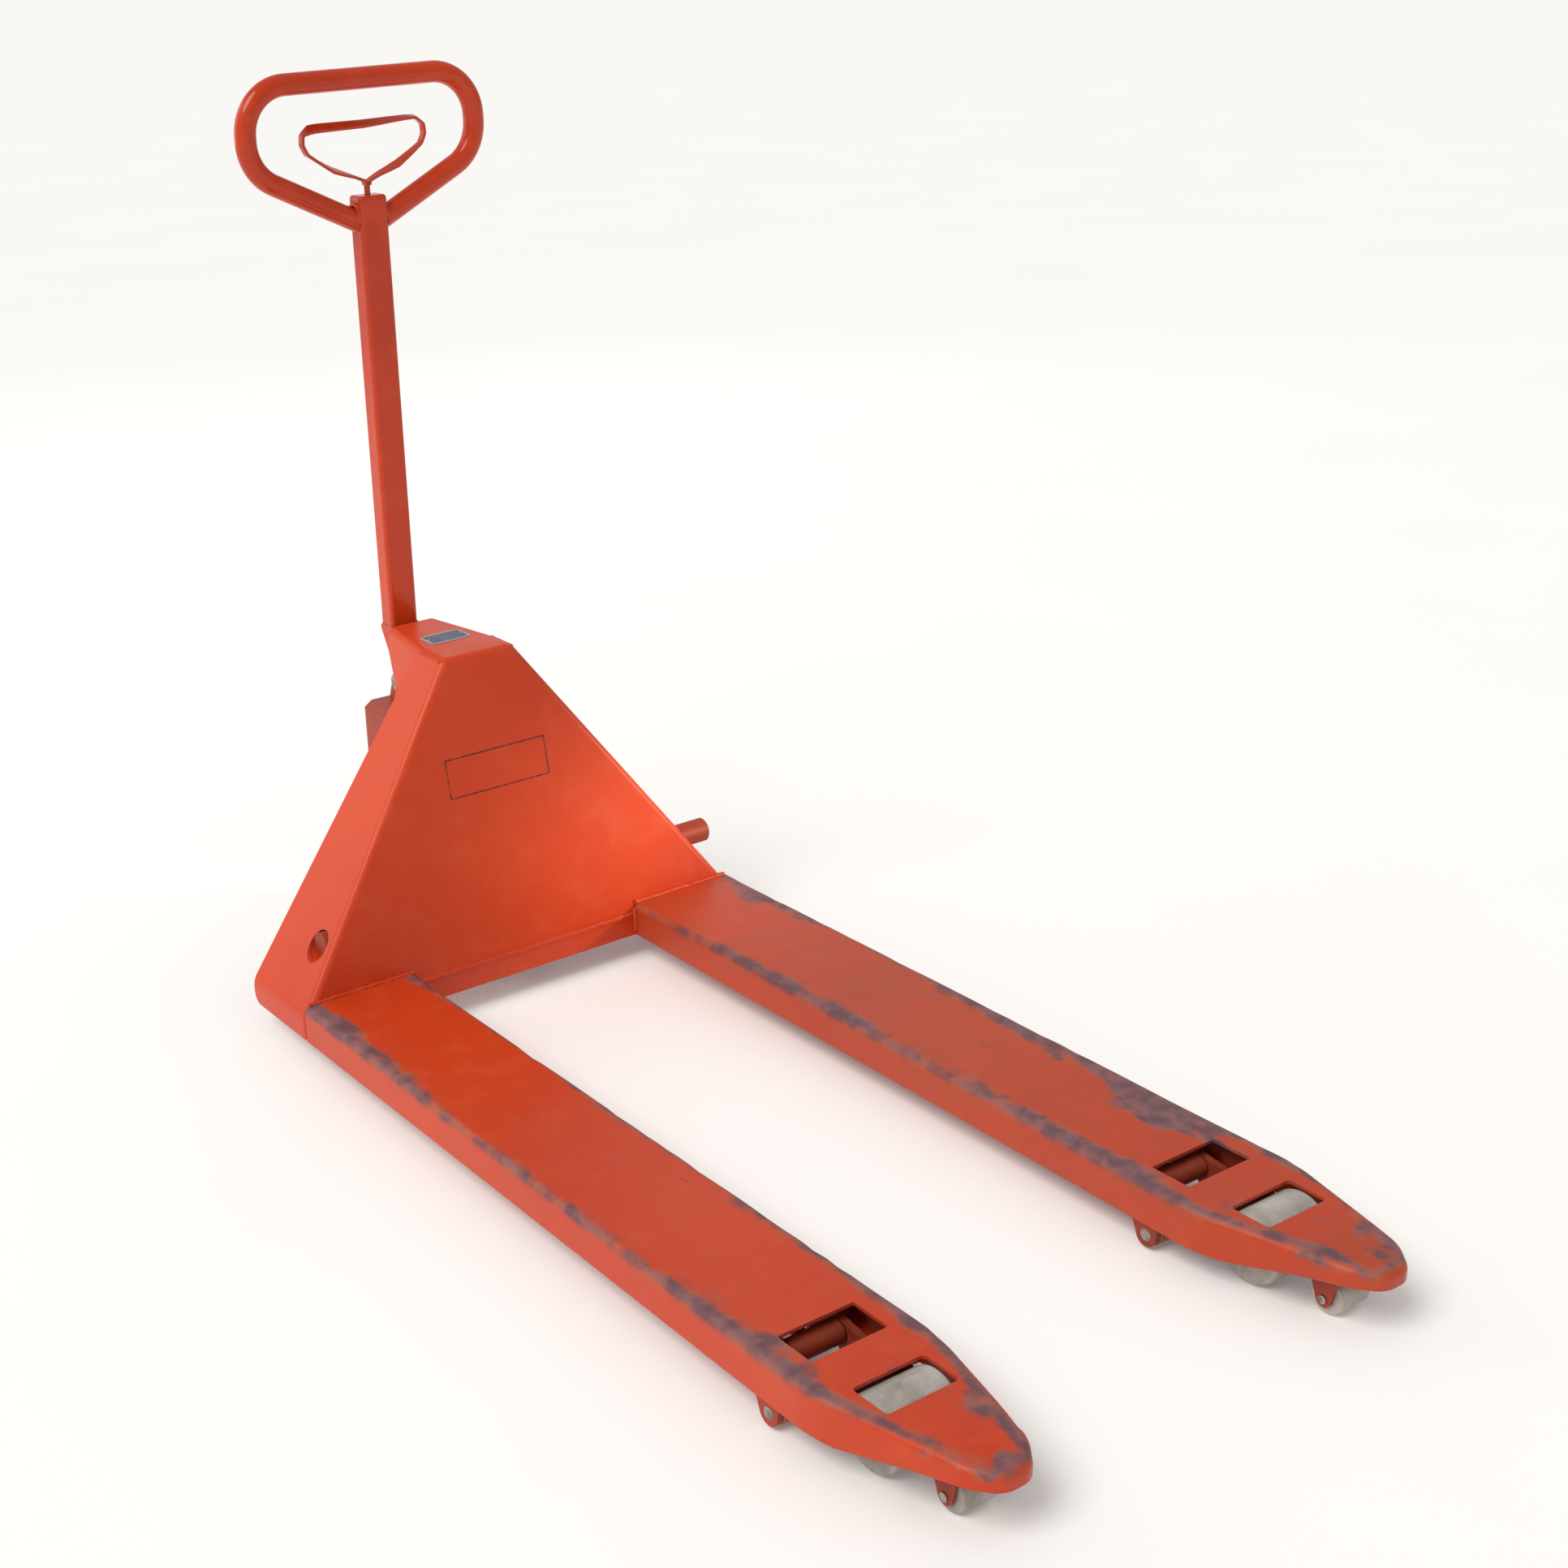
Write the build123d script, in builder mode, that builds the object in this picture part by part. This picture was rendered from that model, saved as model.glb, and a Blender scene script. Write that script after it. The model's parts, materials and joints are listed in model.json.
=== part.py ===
# Hand pallet truck, 27 x 48 inch forks, in millimetres.
# +Z up, forks towards -Y, handle at the +Y end, origin on the floor at the middle of the outline.
# Stored with the forks lowered and the handle upright.
import os
from math import cos, radians, sin

from build123d import *

os.makedirs("parts", exist_ok=True)

# ---- overall sizes ----
TRUCK_WIDTH = 685.0
FORK_LENGTH = 1220.0
TUBE_Y = 298.0                        # heel to the middle of the handle tube
TUBE_SIZE = (42.0, 32.0)
HEEL_Y = (FORK_LENGTH - TUBE_Y - TUBE_SIZE[1] / 2) / 2
TIP = -FORK_LENGTH                    # heel distance of the fork tips; forward is negative
FORK_WIDTH = 165.0
FORK_TOP = 82.0
FORK_WALL_BOTTOM = 34.0
SHEET = 4.0
PLATE = 5.0
LIFT = 110.0
FORK_X = (TRUCK_WIDTH - FORK_WIDTH) / 2

# ---- clearances ----
RUNNING = 0.06                        # radial, shaft in a bush
SEATED = 0.15                         # radial, pin fixed in its hole
JOIN = 0.2                            # flat gap under a weld

# ---- fork toe and slots, distances forward of the heel ----
TOE_START = FORK_LENGTH - 196.0
TOE_SHOULDER = FORK_LENGTH - 30.0
TOE_HALF_WIDTH = 41.0
NOSE_HALF_WIDTH = 18.0
REAR_SLOT = (FORK_LENGTH - 286.4, FORK_LENGTH - 233.4)
REAR_SLOT_HALF = 48.5
ROLLER_SLOT = (FORK_LENGTH - 178.5, FORK_LENGTH - 127.7)
ROLLER_SLOT_HALF = 45.2
RIB_POSITIONS = (300.0, 620.0, FORK_LENGTH - 322.0)

# ---- wheel links under the fork toes ----
LOAD_ROLLER_R = 40.0
LINK_PIVOT = (TIP + 264.0, 18.0)      # heel distance and height
ROD_JOINT = (TIP + 292.0, 52.0)
LOAD_AXLE = (TIP + 155.0, LOAD_ROLLER_R)
WEB_Y = TIP + 208.0
LOAD_ROLLER_HALF = 43.5
LOAD_AXLE_R = 10.0
LINK_PIN_R = 7.0
EXIT_ROLLER_R = 15.0
REAR_ARM = (34.0, 42.0)
FRONT_ARM = (45.0, 51.0)
EXIT_LUG = (70.5, 78.2)

# ---- entry rollers under the toe tips ----
ENTRY_Y = TIP + 67.0
ENTRY_R = 20.0
ENTRY_HALF = 22.0
ENTRY_PIN_R = 5.0

# ---- A-frame ----
BEND_Z = 66.0                         # where the upright skirt bends into the sloping plates
CAP_Z = 469.0
CAP_FRONT_Y = 86.0
CAP_HALF_FRONT = 54.0
CAP_HALF_REAR = 38.0
WINDOW_MARGIN = 18.5                  # plate left beside each push-rod window
CAP_REAR_Y = 265.0
CAP_EDGE = PLATE + 1.0                # the sloping side plate's width where it meets the cap
SIDE_REAR_Y = 150.0
SKIRT_FRONT_Z = 418.0
SKIRT_REAR_Z = 440.0
SKIRT_REAR_Y = 250.0

# ---- rocker shaft and the arms on it ----
SHAFT_YZ = (50.0, 137.0)
SHAFT_R = 17.0
SHAFT_X = (54.5 - TRUCK_WIDTH / 2, TRUCK_WIDTH / 2 - 7.5)
BUSH_R = 24.0
BUSH_LENGTH = 17.0
BUSH_SEAT = 0.4                       # gap between a bush and the sloping side plate
ROD_ARM_LENGTH = 84.0
ROD_ARM_ANGLE = 15.9                  # behind straight down, and as far in front when raised
ROD_ARM_WIDTH = 10.0
ROD_ARM_GAP = 3.8                     # between a short arm and the shaft bush outboard of it
ROD_EYE_HALF = 12.0
LIFT_ARM_TIP = (243.0, 195.0)
LIFT_ARM_X = (128.0, 140.0)
LIFT_ARM_SLOT = 13.0                  # centre to centre
FRAME_PIN_R = 8.0
ROD_PIN_R = 6.0
ROD_R = 7.0
ROD_TUBE_R = 10.0
ROD_EYE_DROP = 10.5                   # slot below the rear eye, the one open pivot of the linkage
ROD_EYE_CLEARANCE = 1.2

# ---- hydraulic unit and steering ----
STEER_Y = 205.0
RAM_R = 18.0
RAM_BOTTOM = 290.0
CYLINDER_R = 31.0
CYLINDER_TOP = 428.0
BLOCK_HALF_WIDTH = 70.0
BLOCK_Y = (140.0, 303.0)
BLOCK_Z = (214.0, 360.0)
COLLAR_BOSS_R = 48.0
RING_Z = (186.0, 200.0)
STEER_WHEEL_R = 90.0
AXLE_Z = STEER_WHEEL_R
AXLE_R = 10.0
STEER_HUB_R = STEER_WHEEL_R - 20.0
STEER_WHEEL_X = (19.0, 69.0)
BEARING_R = 23.5
BEARING_WIDTH = 14.0

# ---- handle ----
PIVOT_YZ = (254.0, 392.0)
PIVOT_PIN_R = 8.0
LUG_X = (22.0, 34.0)
CAM_OFFSET = (21.75, 10.1)
CAM_ROLLER_R = 11.0
CAM_PIN_R = 5.0
TUBE_WALL = 3.0
TUBE_Z = (462.0, 1046.0)
GRIP_TUBE_R = 14.0
GRIP_WALL = 2.5
GRIP_TOP_Z = 1192.0
GRIP_HALF_WIDTH = 168.0
GRIP_SHOULDER_Z = 1087.5
GRIP_ROOT_Z = 1014.0
GRIP_BEND = 60.0
LOOP_DEPTH = 7.0
LOOP_BAR = 9.0
RELEASE_ROD_R = 4.0

# ---- pump plunger ----
PLUNGER_Y = 280.0
PLUNGER_R = 9.0
PLUNGER_CAP_R = 10.0
PLUNGER_FLANGE_R = 12.0
PLUNGER_CAP_TOP = 390.7
PLUNGER_IN_BORE = 40.0                # how far the plunger reaches below the pocket floor at rest
PLUNGER_STROKE = 30.0
POCKET_R = 17.0
POCKET_FLOOR = 334.0


def world(point):
    """A heel distance and a height as a point on the Y-Z plane."""
    return (HEEL_Y + point[0], point[1])


def cross_plane(x):
    """The Y-Z plane at a given x; shapes on it are extruded towards +X."""
    return Plane.YZ.offset(x)


def cam_point():
    """Centre of the cam roller behind the handle pivot."""
    return (PIVOT_YZ[0] + CAM_OFFSET[0], PIVOT_YZ[1] + CAM_OFFSET[1])


def rod_arm_tip():
    """Centre of the push-rod pin on the rocker's short arm."""
    drop = radians(ROD_ARM_ANGLE)
    return (SHAFT_YZ[0] + ROD_ARM_LENGTH * sin(drop), SHAFT_YZ[1] - ROD_ARM_LENGTH * cos(drop))


def side_inner_x(height):
    """How far from the middle a side plate's inner face is at a height."""
    share = (height - BEND_Z + 2) / (CAP_Z - BEND_Z + 2)
    bottom = TRUCK_WIDTH / 2 - PLATE
    return bottom + share * (CAP_HALF_FRONT - CAP_EDGE - bottom)


def bush_end():
    """How far from the middle the outer end of a shaft bush is."""
    return side_inner_x(SHAFT_YZ[1] + BUSH_R) - BUSH_SEAT


def rod_arm_x():
    """The inner and outer faces of a short arm, just inboard of the shaft bush."""
    outer = bush_end() - BUSH_LENGTH - ROD_ARM_GAP
    return (outer - ROD_ARM_WIDTH, outer)


def save(builder, name):
    """Label a finished sub-part and write its STEP file."""
    builder.part.label = name
    export_step(builder.part, f"parts/{name}.step")


def bar(x_low, x_high, centre, radius, hole=0.0):
    """A round bar or tube along X through a heel point, for use inside a part."""
    with BuildSketch(cross_plane(x_low)) as section:
        with Locations(world(centre)):
            Circle(radius)
            if hole > 0:
                Circle(hole, mode=Mode.SUBTRACT)
    extrude(section.sketch, amount=x_high - x_low)


def bore(x_low, x_high, centre, radius):
    """Cut a round hole along X through a heel point."""
    with BuildSketch(cross_plane(x_low)) as section:
        with Locations(world(centre)):
            Circle(radius)
    extrude(section.sketch, amount=x_high - x_low, mode=Mode.SUBTRACT)


def web_plate(x_low, x_high, rounds):
    """A plate along X whose outline wraps the given (point, radius) rounds."""
    with BuildSketch(cross_plane(x_low)) as section:
        for centre, radius in rounds:
            with Locations(world(centre)):
                Circle(radius)
        make_hull()
    extrude(section.sketch, amount=x_high - x_low)


def upright(radius, z_low, z_high, centre, mode=Mode.ADD):
    """A round bar along Z at (x, heel distance)."""
    with BuildSketch(Plane.XY.offset(z_low)) as section:
        with Locations((centre[0], HEEL_Y + centre[1])):
            Circle(radius)
    extrude(section.sketch, amount=z_high - z_low, mode=mode)


def block(x_range, y_range, z_range, mode=Mode.ADD):
    """A box between x, heel-distance and height limits."""
    with BuildSketch(Plane.XY.offset(z_range[0])) as section:
        with Locations(((x_range[0] + x_range[1]) / 2, HEEL_Y + (y_range[0] + y_range[1]) / 2)):
            Rectangle(x_range[1] - x_range[0], y_range[1] - y_range[0])
    extrude(section.sketch, amount=z_range[1] - z_range[0], mode=mode)


SIDES = (("left", -1), ("right", 1))

# ---- forks: pressed channels, open underneath, with a rising toe ----
for side_name, side in SIDES:
    fork_x = side * FORK_X
    half = FORK_WIDTH / 2
    outline = (
        (fork_x - half, HEEL_Y),
        (fork_x - half, HEEL_Y - TOE_START),
        (fork_x - TOE_HALF_WIDTH, HEEL_Y - TOE_SHOULDER),
        (fork_x - NOSE_HALF_WIDTH, HEEL_Y - FORK_LENGTH),
        (fork_x + NOSE_HALF_WIDTH, HEEL_Y - FORK_LENGTH),
        (fork_x + TOE_HALF_WIDTH, HEEL_Y - TOE_SHOULDER),
        (fork_x + half, HEEL_Y - TOE_START),
        (fork_x + half, HEEL_Y),
    )
    with BuildPart() as fork:
        with BuildSketch(Plane.XY.offset(FORK_WALL_BOTTOM)) as plan:
            with BuildLine():
                Polyline(*outline, close=True)
            make_face()
            nose = plan.vertices().sort_by(Axis.Y)
            fillet(nose[0:2], radius=16)
            shoulders = plan.vertices().filter_by(
                lambda v: abs(v.Y - (HEEL_Y - TOE_SHOULDER)) < 8 and abs(abs(v.X - fork_x) - TOE_HALF_WIDTH) < 2)
            fillet(shoulders, radius=14)
            corners = plan.vertices().filter_by(lambda v: abs(v.Y - (HEEL_Y - TOE_START)) < 1)
            fillet(corners, radius=50)
        extrude(amount=FORK_TOP - FORK_WALL_BOTTOM)
        top_edges = fork.faces().sort_by(Axis.Z)[-1].edges()
        heel_edge = top_edges.sort_by(Axis.Y)[-1]
        fillet(top_edges - [heel_edge], radius=6)
        with BuildSketch(Plane.XY.offset(FORK_WALL_BOTTOM)):
            with BuildLine():
                Polyline(*outline, close=True)
            make_face()
            offset(amount=-SHEET, kind=Kind.INTERSECTION)
            with Locations((fork_x, HEEL_Y - SHEET)):
                Rectangle(FORK_WIDTH - 2 * SHEET, 4 * SHEET)
        extrude(amount=FORK_TOP - SHEET - FORK_WALL_BOTTOM, mode=Mode.SUBTRACT)
        with BuildSketch(cross_plane(fork_x - half - 1)):
            with BuildLine():
                rise = [world(p) for p in (
                    (TIP + 170, FORK_WALL_BOTTOM), (TIP + 120, 43), (TIP + 80, 52), (TIP + 35, 58), (TIP - 5, 59))]
                Spline(*rise)
                Polyline(rise[-1], world((TIP - 5, 30)), world((TIP + 170, 30)), rise[0])
            make_face()
        extrude(amount=FORK_WIDTH + 2, mode=Mode.SUBTRACT)
        for (start, end), half_slot, corner in (
                (REAR_SLOT, REAR_SLOT_HALF, 2.0), (ROLLER_SLOT, ROLLER_SLOT_HALF, 5.0)):
            with BuildSketch(Plane.XY.offset(FORK_TOP)):
                with Locations((fork_x, HEEL_Y - (start + end) / 2)):
                    RectangleRounded(2 * half_slot, end - start, corner)
            extrude(amount=-2 * SHEET, mode=Mode.SUBTRACT)
    save(fork, f"fork_{side_name}")

# ---- stiffening ribs across the inside of each fork, notched for the push rod ----
with BuildPart() as fork_ribs:
    for side_name, side in SIDES:
        for forward in RIB_POSITIONS:
            inner = FORK_WIDTH / 2 - SHEET - JOIN
            with BuildSketch(Plane.XZ.offset(forward - HEEL_Y)):
                with Locations((side * FORK_X, (FORK_TOP - SHEET + 38) / 2)):
                    Rectangle(2 * inner, FORK_TOP - SHEET - 38)
                with Locations((side * FORK_X, 44)):
                    Rectangle(34, 56, mode=Mode.SUBTRACT)
            extrude(amount=5)
save(fork_ribs, "fork_ribs")

# ---- A-frame front plate: sloping panel over a short upright skirt ----
slope = (CAP_FRONT_Y, CAP_Z)
profile_xz = (
    (-TRUCK_WIDTH / 2, FORK_WALL_BOTTOM), (-TRUCK_WIDTH / 2, BEND_Z), (-CAP_HALF_FRONT, CAP_Z),
    (CAP_HALF_FRONT, CAP_Z), (TRUCK_WIDTH / 2, BEND_Z), (TRUCK_WIDTH / 2, FORK_WALL_BOTTOM),
)
with BuildPart() as frame_front:
    with BuildSketch(Plane.XZ.offset(-HEEL_Y)):
        with BuildLine():
            Polyline(*profile_xz, close=True)
        make_face()
    extrude(amount=-SIDE_REAR_Y)
    with BuildSketch(cross_plane(-TRUCK_WIDTH)):
        with BuildLine():
            Polyline(world((0, FORK_WALL_BOTTOM)), world((0, BEND_Z)), world(slope),
                     world((slope[0] + PLATE, CAP_Z)), world((PLATE, BEND_Z)),
                     world((PLATE, FORK_WALL_BOTTOM)), close=True)
        make_face()
    extrude(amount=2 * TRUCK_WIDTH, mode=Mode.INTERSECT)
    window_half = FORK_WIDTH / 2 - WINDOW_MARGIN
    for side_name, side in SIDES:
        block((side * FORK_X - window_half, side * FORK_X + window_half), (-1, 20),
              (FORK_WALL_BOTTOM - 1, FORK_TOP - SHEET), mode=Mode.SUBTRACT)
    front_edges = frame_front.edges().filter_by(
        lambda e: e.bounding_box().size.Z > 300 and e.bounding_box().size.X > 200).group_by(Axis.Y)[0]
    fillet(front_edges, radius=3.5)
save(frame_front, "frame_front")

# ---- A-frame side plates: folded strips behind the front plate, with the shaft hole ----
for side_name, side in SIDES:
    with BuildPart() as frame_side:
        with BuildSketch(Plane.XZ.offset(-HEEL_Y)):
            with BuildLine():
                outer = [(side * x, z) for x, z in (
                    (TRUCK_WIDTH / 2, FORK_WALL_BOTTOM), (TRUCK_WIDTH / 2, BEND_Z), (CAP_HALF_FRONT, CAP_Z),
                    (CAP_HALF_FRONT - CAP_EDGE, CAP_Z), (TRUCK_WIDTH / 2 - PLATE, BEND_Z - 2),
                    (TRUCK_WIDTH / 2 - PLATE, FORK_WALL_BOTTOM))]
                Polyline(*outer, close=True)
            make_face()
        extrude(amount=-SIDE_REAR_Y)
        with BuildSketch(cross_plane(-TRUCK_WIDTH)):
            with BuildLine():
                Polyline(world((PLATE, FORK_WALL_BOTTOM)), world((PLATE, BEND_Z)), world((slope[0] + PLATE, CAP_Z)),
                         world((SIDE_REAR_Y, CAP_Z)), world((SIDE_REAR_Y, 50)), world((SIDE_REAR_Y - 14, FORK_WALL_BOTTOM)),
                         close=True)
            make_face()
        extrude(amount=2 * TRUCK_WIDTH, mode=Mode.INTERSECT)
        x_low, x_high = sorted((side * 200, side * 400))
        bore(x_low, x_high, SHAFT_YZ, SHAFT_R + 2)
    save(frame_side, f"frame_side_{side_name}")

# ---- cap over the pump: top plate between the side plates and its overhanging rear ----
with BuildPart() as hood:
    with BuildSketch(Plane.XY.offset(CAP_Z - PLATE)) as cap_plan:
        with BuildLine():
            inner_half = CAP_HALF_FRONT - CAP_EDGE - JOIN
            Polyline((-inner_half, HEEL_Y + slope[0] + PLATE + JOIN), (-inner_half, HEEL_Y + SIDE_REAR_Y + JOIN),
                     (-CAP_HALF_FRONT, HEEL_Y + SIDE_REAR_Y + JOIN), (-CAP_HALF_REAR, HEEL_Y + CAP_REAR_Y),
                     (CAP_HALF_REAR, HEEL_Y + CAP_REAR_Y), (CAP_HALF_FRONT, HEEL_Y + SIDE_REAR_Y + JOIN),
                     (inner_half, HEEL_Y + SIDE_REAR_Y + JOIN), (inner_half, HEEL_Y + slope[0] + PLATE + JOIN),
                     close=True)
        make_face()
        fillet(cap_plan.vertices().group_by(Axis.Y)[-1], radius=20)
    extrude(amount=PLATE)
    run = SKIRT_REAR_Y - SIDE_REAR_Y
    for side_name, side in SIDES:
        with BuildSketch(Plane.XY.offset(SKIRT_FRONT_Z - 5)):
            with BuildLine():
                inset = (CAP_HALF_FRONT - CAP_HALF_REAR) * run / (CAP_REAR_Y - SIDE_REAR_Y)
                front_y = HEEL_Y + SIDE_REAR_Y + JOIN
                rear_y = HEEL_Y + SKIRT_REAR_Y
                Polyline((side * CAP_HALF_FRONT, front_y), (side * (CAP_HALF_FRONT - inset), rear_y),
                         (side * (CAP_HALF_FRONT - inset - PLATE), rear_y),
                         (side * (CAP_HALF_FRONT - PLATE), front_y), close=True)
            make_face()
        extrude(amount=CAP_Z - PLATE - SKIRT_FRONT_Z + 5)
    with BuildSketch(cross_plane(-TRUCK_WIDTH)):
        with BuildLine():
            Polyline(world((SIDE_REAR_Y - 1, SKIRT_FRONT_Z)), world((SKIRT_REAR_Y + 1, SKIRT_REAR_Z)),
                     world((SKIRT_REAR_Y + 1, 300)), world((SIDE_REAR_Y - 1, 300)), close=True)
        make_face()
    extrude(amount=2 * TRUCK_WIDTH, mode=Mode.SUBTRACT)
save(hood, "hood")

# ---- seat under the cap that rests on the ram ----
with BuildPart() as ram_seat:
    upright(26, CAP_Z - PLATE - 12, CAP_Z - PLATE, (0, STEER_Y))
save(ram_seat, "ram_seat")

# ---- blank data plate on the cap ----
with BuildPart() as label_plate:
    with BuildSketch(Plane.XY.offset(CAP_Z)):
        with Locations((0, HEEL_Y + 172)):
            RectangleRounded(62, 40, 8)
    extrude(amount=0.8)
save(label_plate, "label_plate")

# ---- rocker shaft bushes inside the side plates ----
with BuildPart() as shaft_bushes:
    for side_name, side in SIDES:
        x_low, x_high = sorted((side * (bush_end() - BUSH_LENGTH), side * bush_end()))
        bar(x_low, x_high, SHAFT_YZ, BUSH_R, SHAFT_R + RUNNING)
save(shaft_bushes, "shaft_bushes")

# ---- lugs on the fork walls and the pins that carry the wheel links and exit rollers ----
with BuildPart() as exit_brackets:
    for side_name, side in SIDES:
        for ear in (-1, 1):
            x_low, x_high = sorted((ear * EXIT_LUG[0], ear * EXIT_LUG[1]))
            web_plate(side * FORK_X + x_low, side * FORK_X + x_high, (
                (LINK_PIVOT, LINK_PIN_R + 7), ((LINK_PIVOT[0] - 14, FORK_TOP - 16), 7),
                ((LINK_PIVOT[0] + 26, FORK_TOP - 16), 7)))
            bore(side * FORK_X + x_low - 1, side * FORK_X + x_high + 1, LINK_PIVOT, LINK_PIN_R + SEATED)
save(exit_brackets, "exit_brackets")
with BuildPart() as link_pivot_pins:
    for side_name, side in SIDES:
        bar(side * FORK_X - EXIT_LUG[1], side * FORK_X + EXIT_LUG[1], LINK_PIVOT, LINK_PIN_R)
save(link_pivot_pins, "link_pivot_pins")

# ---- entry roller brackets and pins under the toe tips ----
with BuildPart() as toe_brackets:
    bracket_top = FORK_TOP - SHEET - 6.3
    for side_name, side in SIDES:
        for ear in (-1, 1):
            x_low, x_high = sorted((ear * (ENTRY_HALF + 2), ear * (ENTRY_HALF + 6)))
            web_plate(side * FORK_X + x_low, side * FORK_X + x_high, (
                ((ENTRY_Y, ENTRY_R), ENTRY_PIN_R + 4.5), ((ENTRY_Y - 14, bracket_top), 6),
                ((ENTRY_Y + 22, bracket_top), 6)))
            bore(side * FORK_X + x_low - 1, side * FORK_X + x_high + 1, (ENTRY_Y, ENTRY_R), ENTRY_PIN_R + SEATED)
save(toe_brackets, "toe_brackets")
with BuildPart() as entry_roller_pins:
    for side_name, side in SIDES:
        reach = ENTRY_HALF + 8
        bar(side * FORK_X - reach, side * FORK_X + reach, (ENTRY_Y, ENTRY_R), ENTRY_PIN_R)
save(entry_roller_pins, "entry_roller_pins")
for side_name, side in SIDES:
    with BuildPart() as entry_roller:
        bar(side * FORK_X - ENTRY_HALF, side * FORK_X + ENTRY_HALF, (ENTRY_Y, ENTRY_R), ENTRY_R,
            ENTRY_PIN_R + RUNNING)
        rims = entry_roller.edges().filter_by(GeomType.CIRCLE).filter_by(lambda e: e.radius > ENTRY_R - 1)
        fillet(rims, radius=2.5)
    save(entry_roller, f"entry_roller_{side_name}")

# ---- wheel links with their pins, load rollers and exit rollers ----
for side_name, side in SIDES:
    centre_x = side * FORK_X
    with BuildPart() as wheel_link:
        for arm in (-1, 1):
            x_low, x_high = sorted((arm * REAR_ARM[0], arm * REAR_ARM[1]))
            web_plate(centre_x + x_low, centre_x + x_high, (
                (LINK_PIVOT, 13), (ROD_JOINT, 13), ((WEB_Y + 4, 44), 10)))
            x_low, x_high = sorted((arm * FRONT_ARM[0], arm * FRONT_ARM[1]))
            web_plate(centre_x + x_low, centre_x + x_high, (
                ((WEB_Y, 44), 10), (LOAD_AXLE, 15)))
        block((centre_x - FRONT_ARM[1], centre_x + FRONT_ARM[1]), (WEB_Y - 4, WEB_Y + 4), (35, 53))
        bore(centre_x - 60, centre_x + 60, LINK_PIVOT, LINK_PIN_R + RUNNING)
        bore(centre_x - 60, centre_x + 60, ROD_JOINT, ROD_PIN_R + SEATED)
        bore(centre_x - 60, centre_x + 60, LOAD_AXLE, LOAD_AXLE_R + SEATED)
    save(wheel_link, f"wheel_link_{side_name}")
    with BuildPart() as link_pins:
        bar(centre_x - 56, centre_x + 56, LOAD_AXLE, LOAD_AXLE_R)
        bar(centre_x - 45, centre_x + 45, ROD_JOINT, ROD_PIN_R)
        for end in (-1, 1):
            x_low, x_high = sorted((end * 43, end * 46))
            bar(centre_x + x_low, centre_x + x_high, ROD_JOINT, 10)
            x_low, x_high = sorted((end * 52, end * 55))
            bar(centre_x + x_low, centre_x + x_high, LOAD_AXLE, 13)
    save(link_pins, f"link_pins_{side_name}")
    with BuildPart() as load_roller:
        bar(centre_x - LOAD_ROLLER_HALF, centre_x + LOAD_ROLLER_HALF, LOAD_AXLE, LOAD_ROLLER_R,
            LOAD_AXLE_R + RUNNING)
        rims = load_roller.edges().filter_by(GeomType.CIRCLE).filter_by(lambda e: e.radius > LOAD_ROLLER_R - 1)
        fillet(rims, radius=5)
    save(load_roller, f"load_roller_{side_name}")
    with BuildPart() as exit_rollers:
        for end in (-1, 1):
            x_low, x_high = sorted((end * 52, end * 69.5))
            bar(centre_x + x_low, centre_x + x_high, LINK_PIVOT, EXIT_ROLLER_R, LINK_PIN_R + RUNNING)
        rims = exit_rollers.edges().filter_by(GeomType.CIRCLE).filter_by(lambda e: e.radius > EXIT_ROLLER_R - 1)
        fillet(rims, radius=1.5)
    save(exit_rollers, f"exit_rollers_{side_name}")

# ---- push rods from the rocker to the wheel links ----
for side_name, side in SIDES:
    centre_x = side * FORK_X
    front = Vector(centre_x, *world(ROD_JOINT))
    rear = Vector(centre_x, *world(rod_arm_tip()))
    along = (rear - front).normalized()
    with BuildPart() as push_rod:
        with BuildSketch(Plane(origin=front + along * 8, z_dir=along)):
            Circle(ROD_R)
        extrude(amount=(rear - front).length - 16)
        bar(centre_x - REAR_ARM[0] + 0.5, centre_x + REAR_ARM[0] - 0.5, ROD_JOINT, ROD_TUBE_R)
        rear_eye = rod_arm_tip()
        web_plate(centre_x - ROD_EYE_HALF, centre_x + ROD_EYE_HALF, (
            (rear_eye, 12), ((rear_eye[0], rear_eye[1] - ROD_EYE_DROP), 12)))
        bore(centre_x - REAR_ARM[0], centre_x + REAR_ARM[0], ROD_JOINT, ROD_PIN_R + RUNNING)
        with BuildSketch(cross_plane(centre_x - ROD_EYE_HALF - 1)):
            for drop in (0, ROD_EYE_DROP):
                with Locations(world((rear_eye[0], rear_eye[1] - drop))):
                    Circle(ROD_PIN_R + ROD_EYE_CLEARANCE)
            make_hull()
        extrude(amount=2 * ROD_EYE_HALF + 2, mode=Mode.SUBTRACT)
    save(push_rod, f"push_rod_{side_name}")

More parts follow.
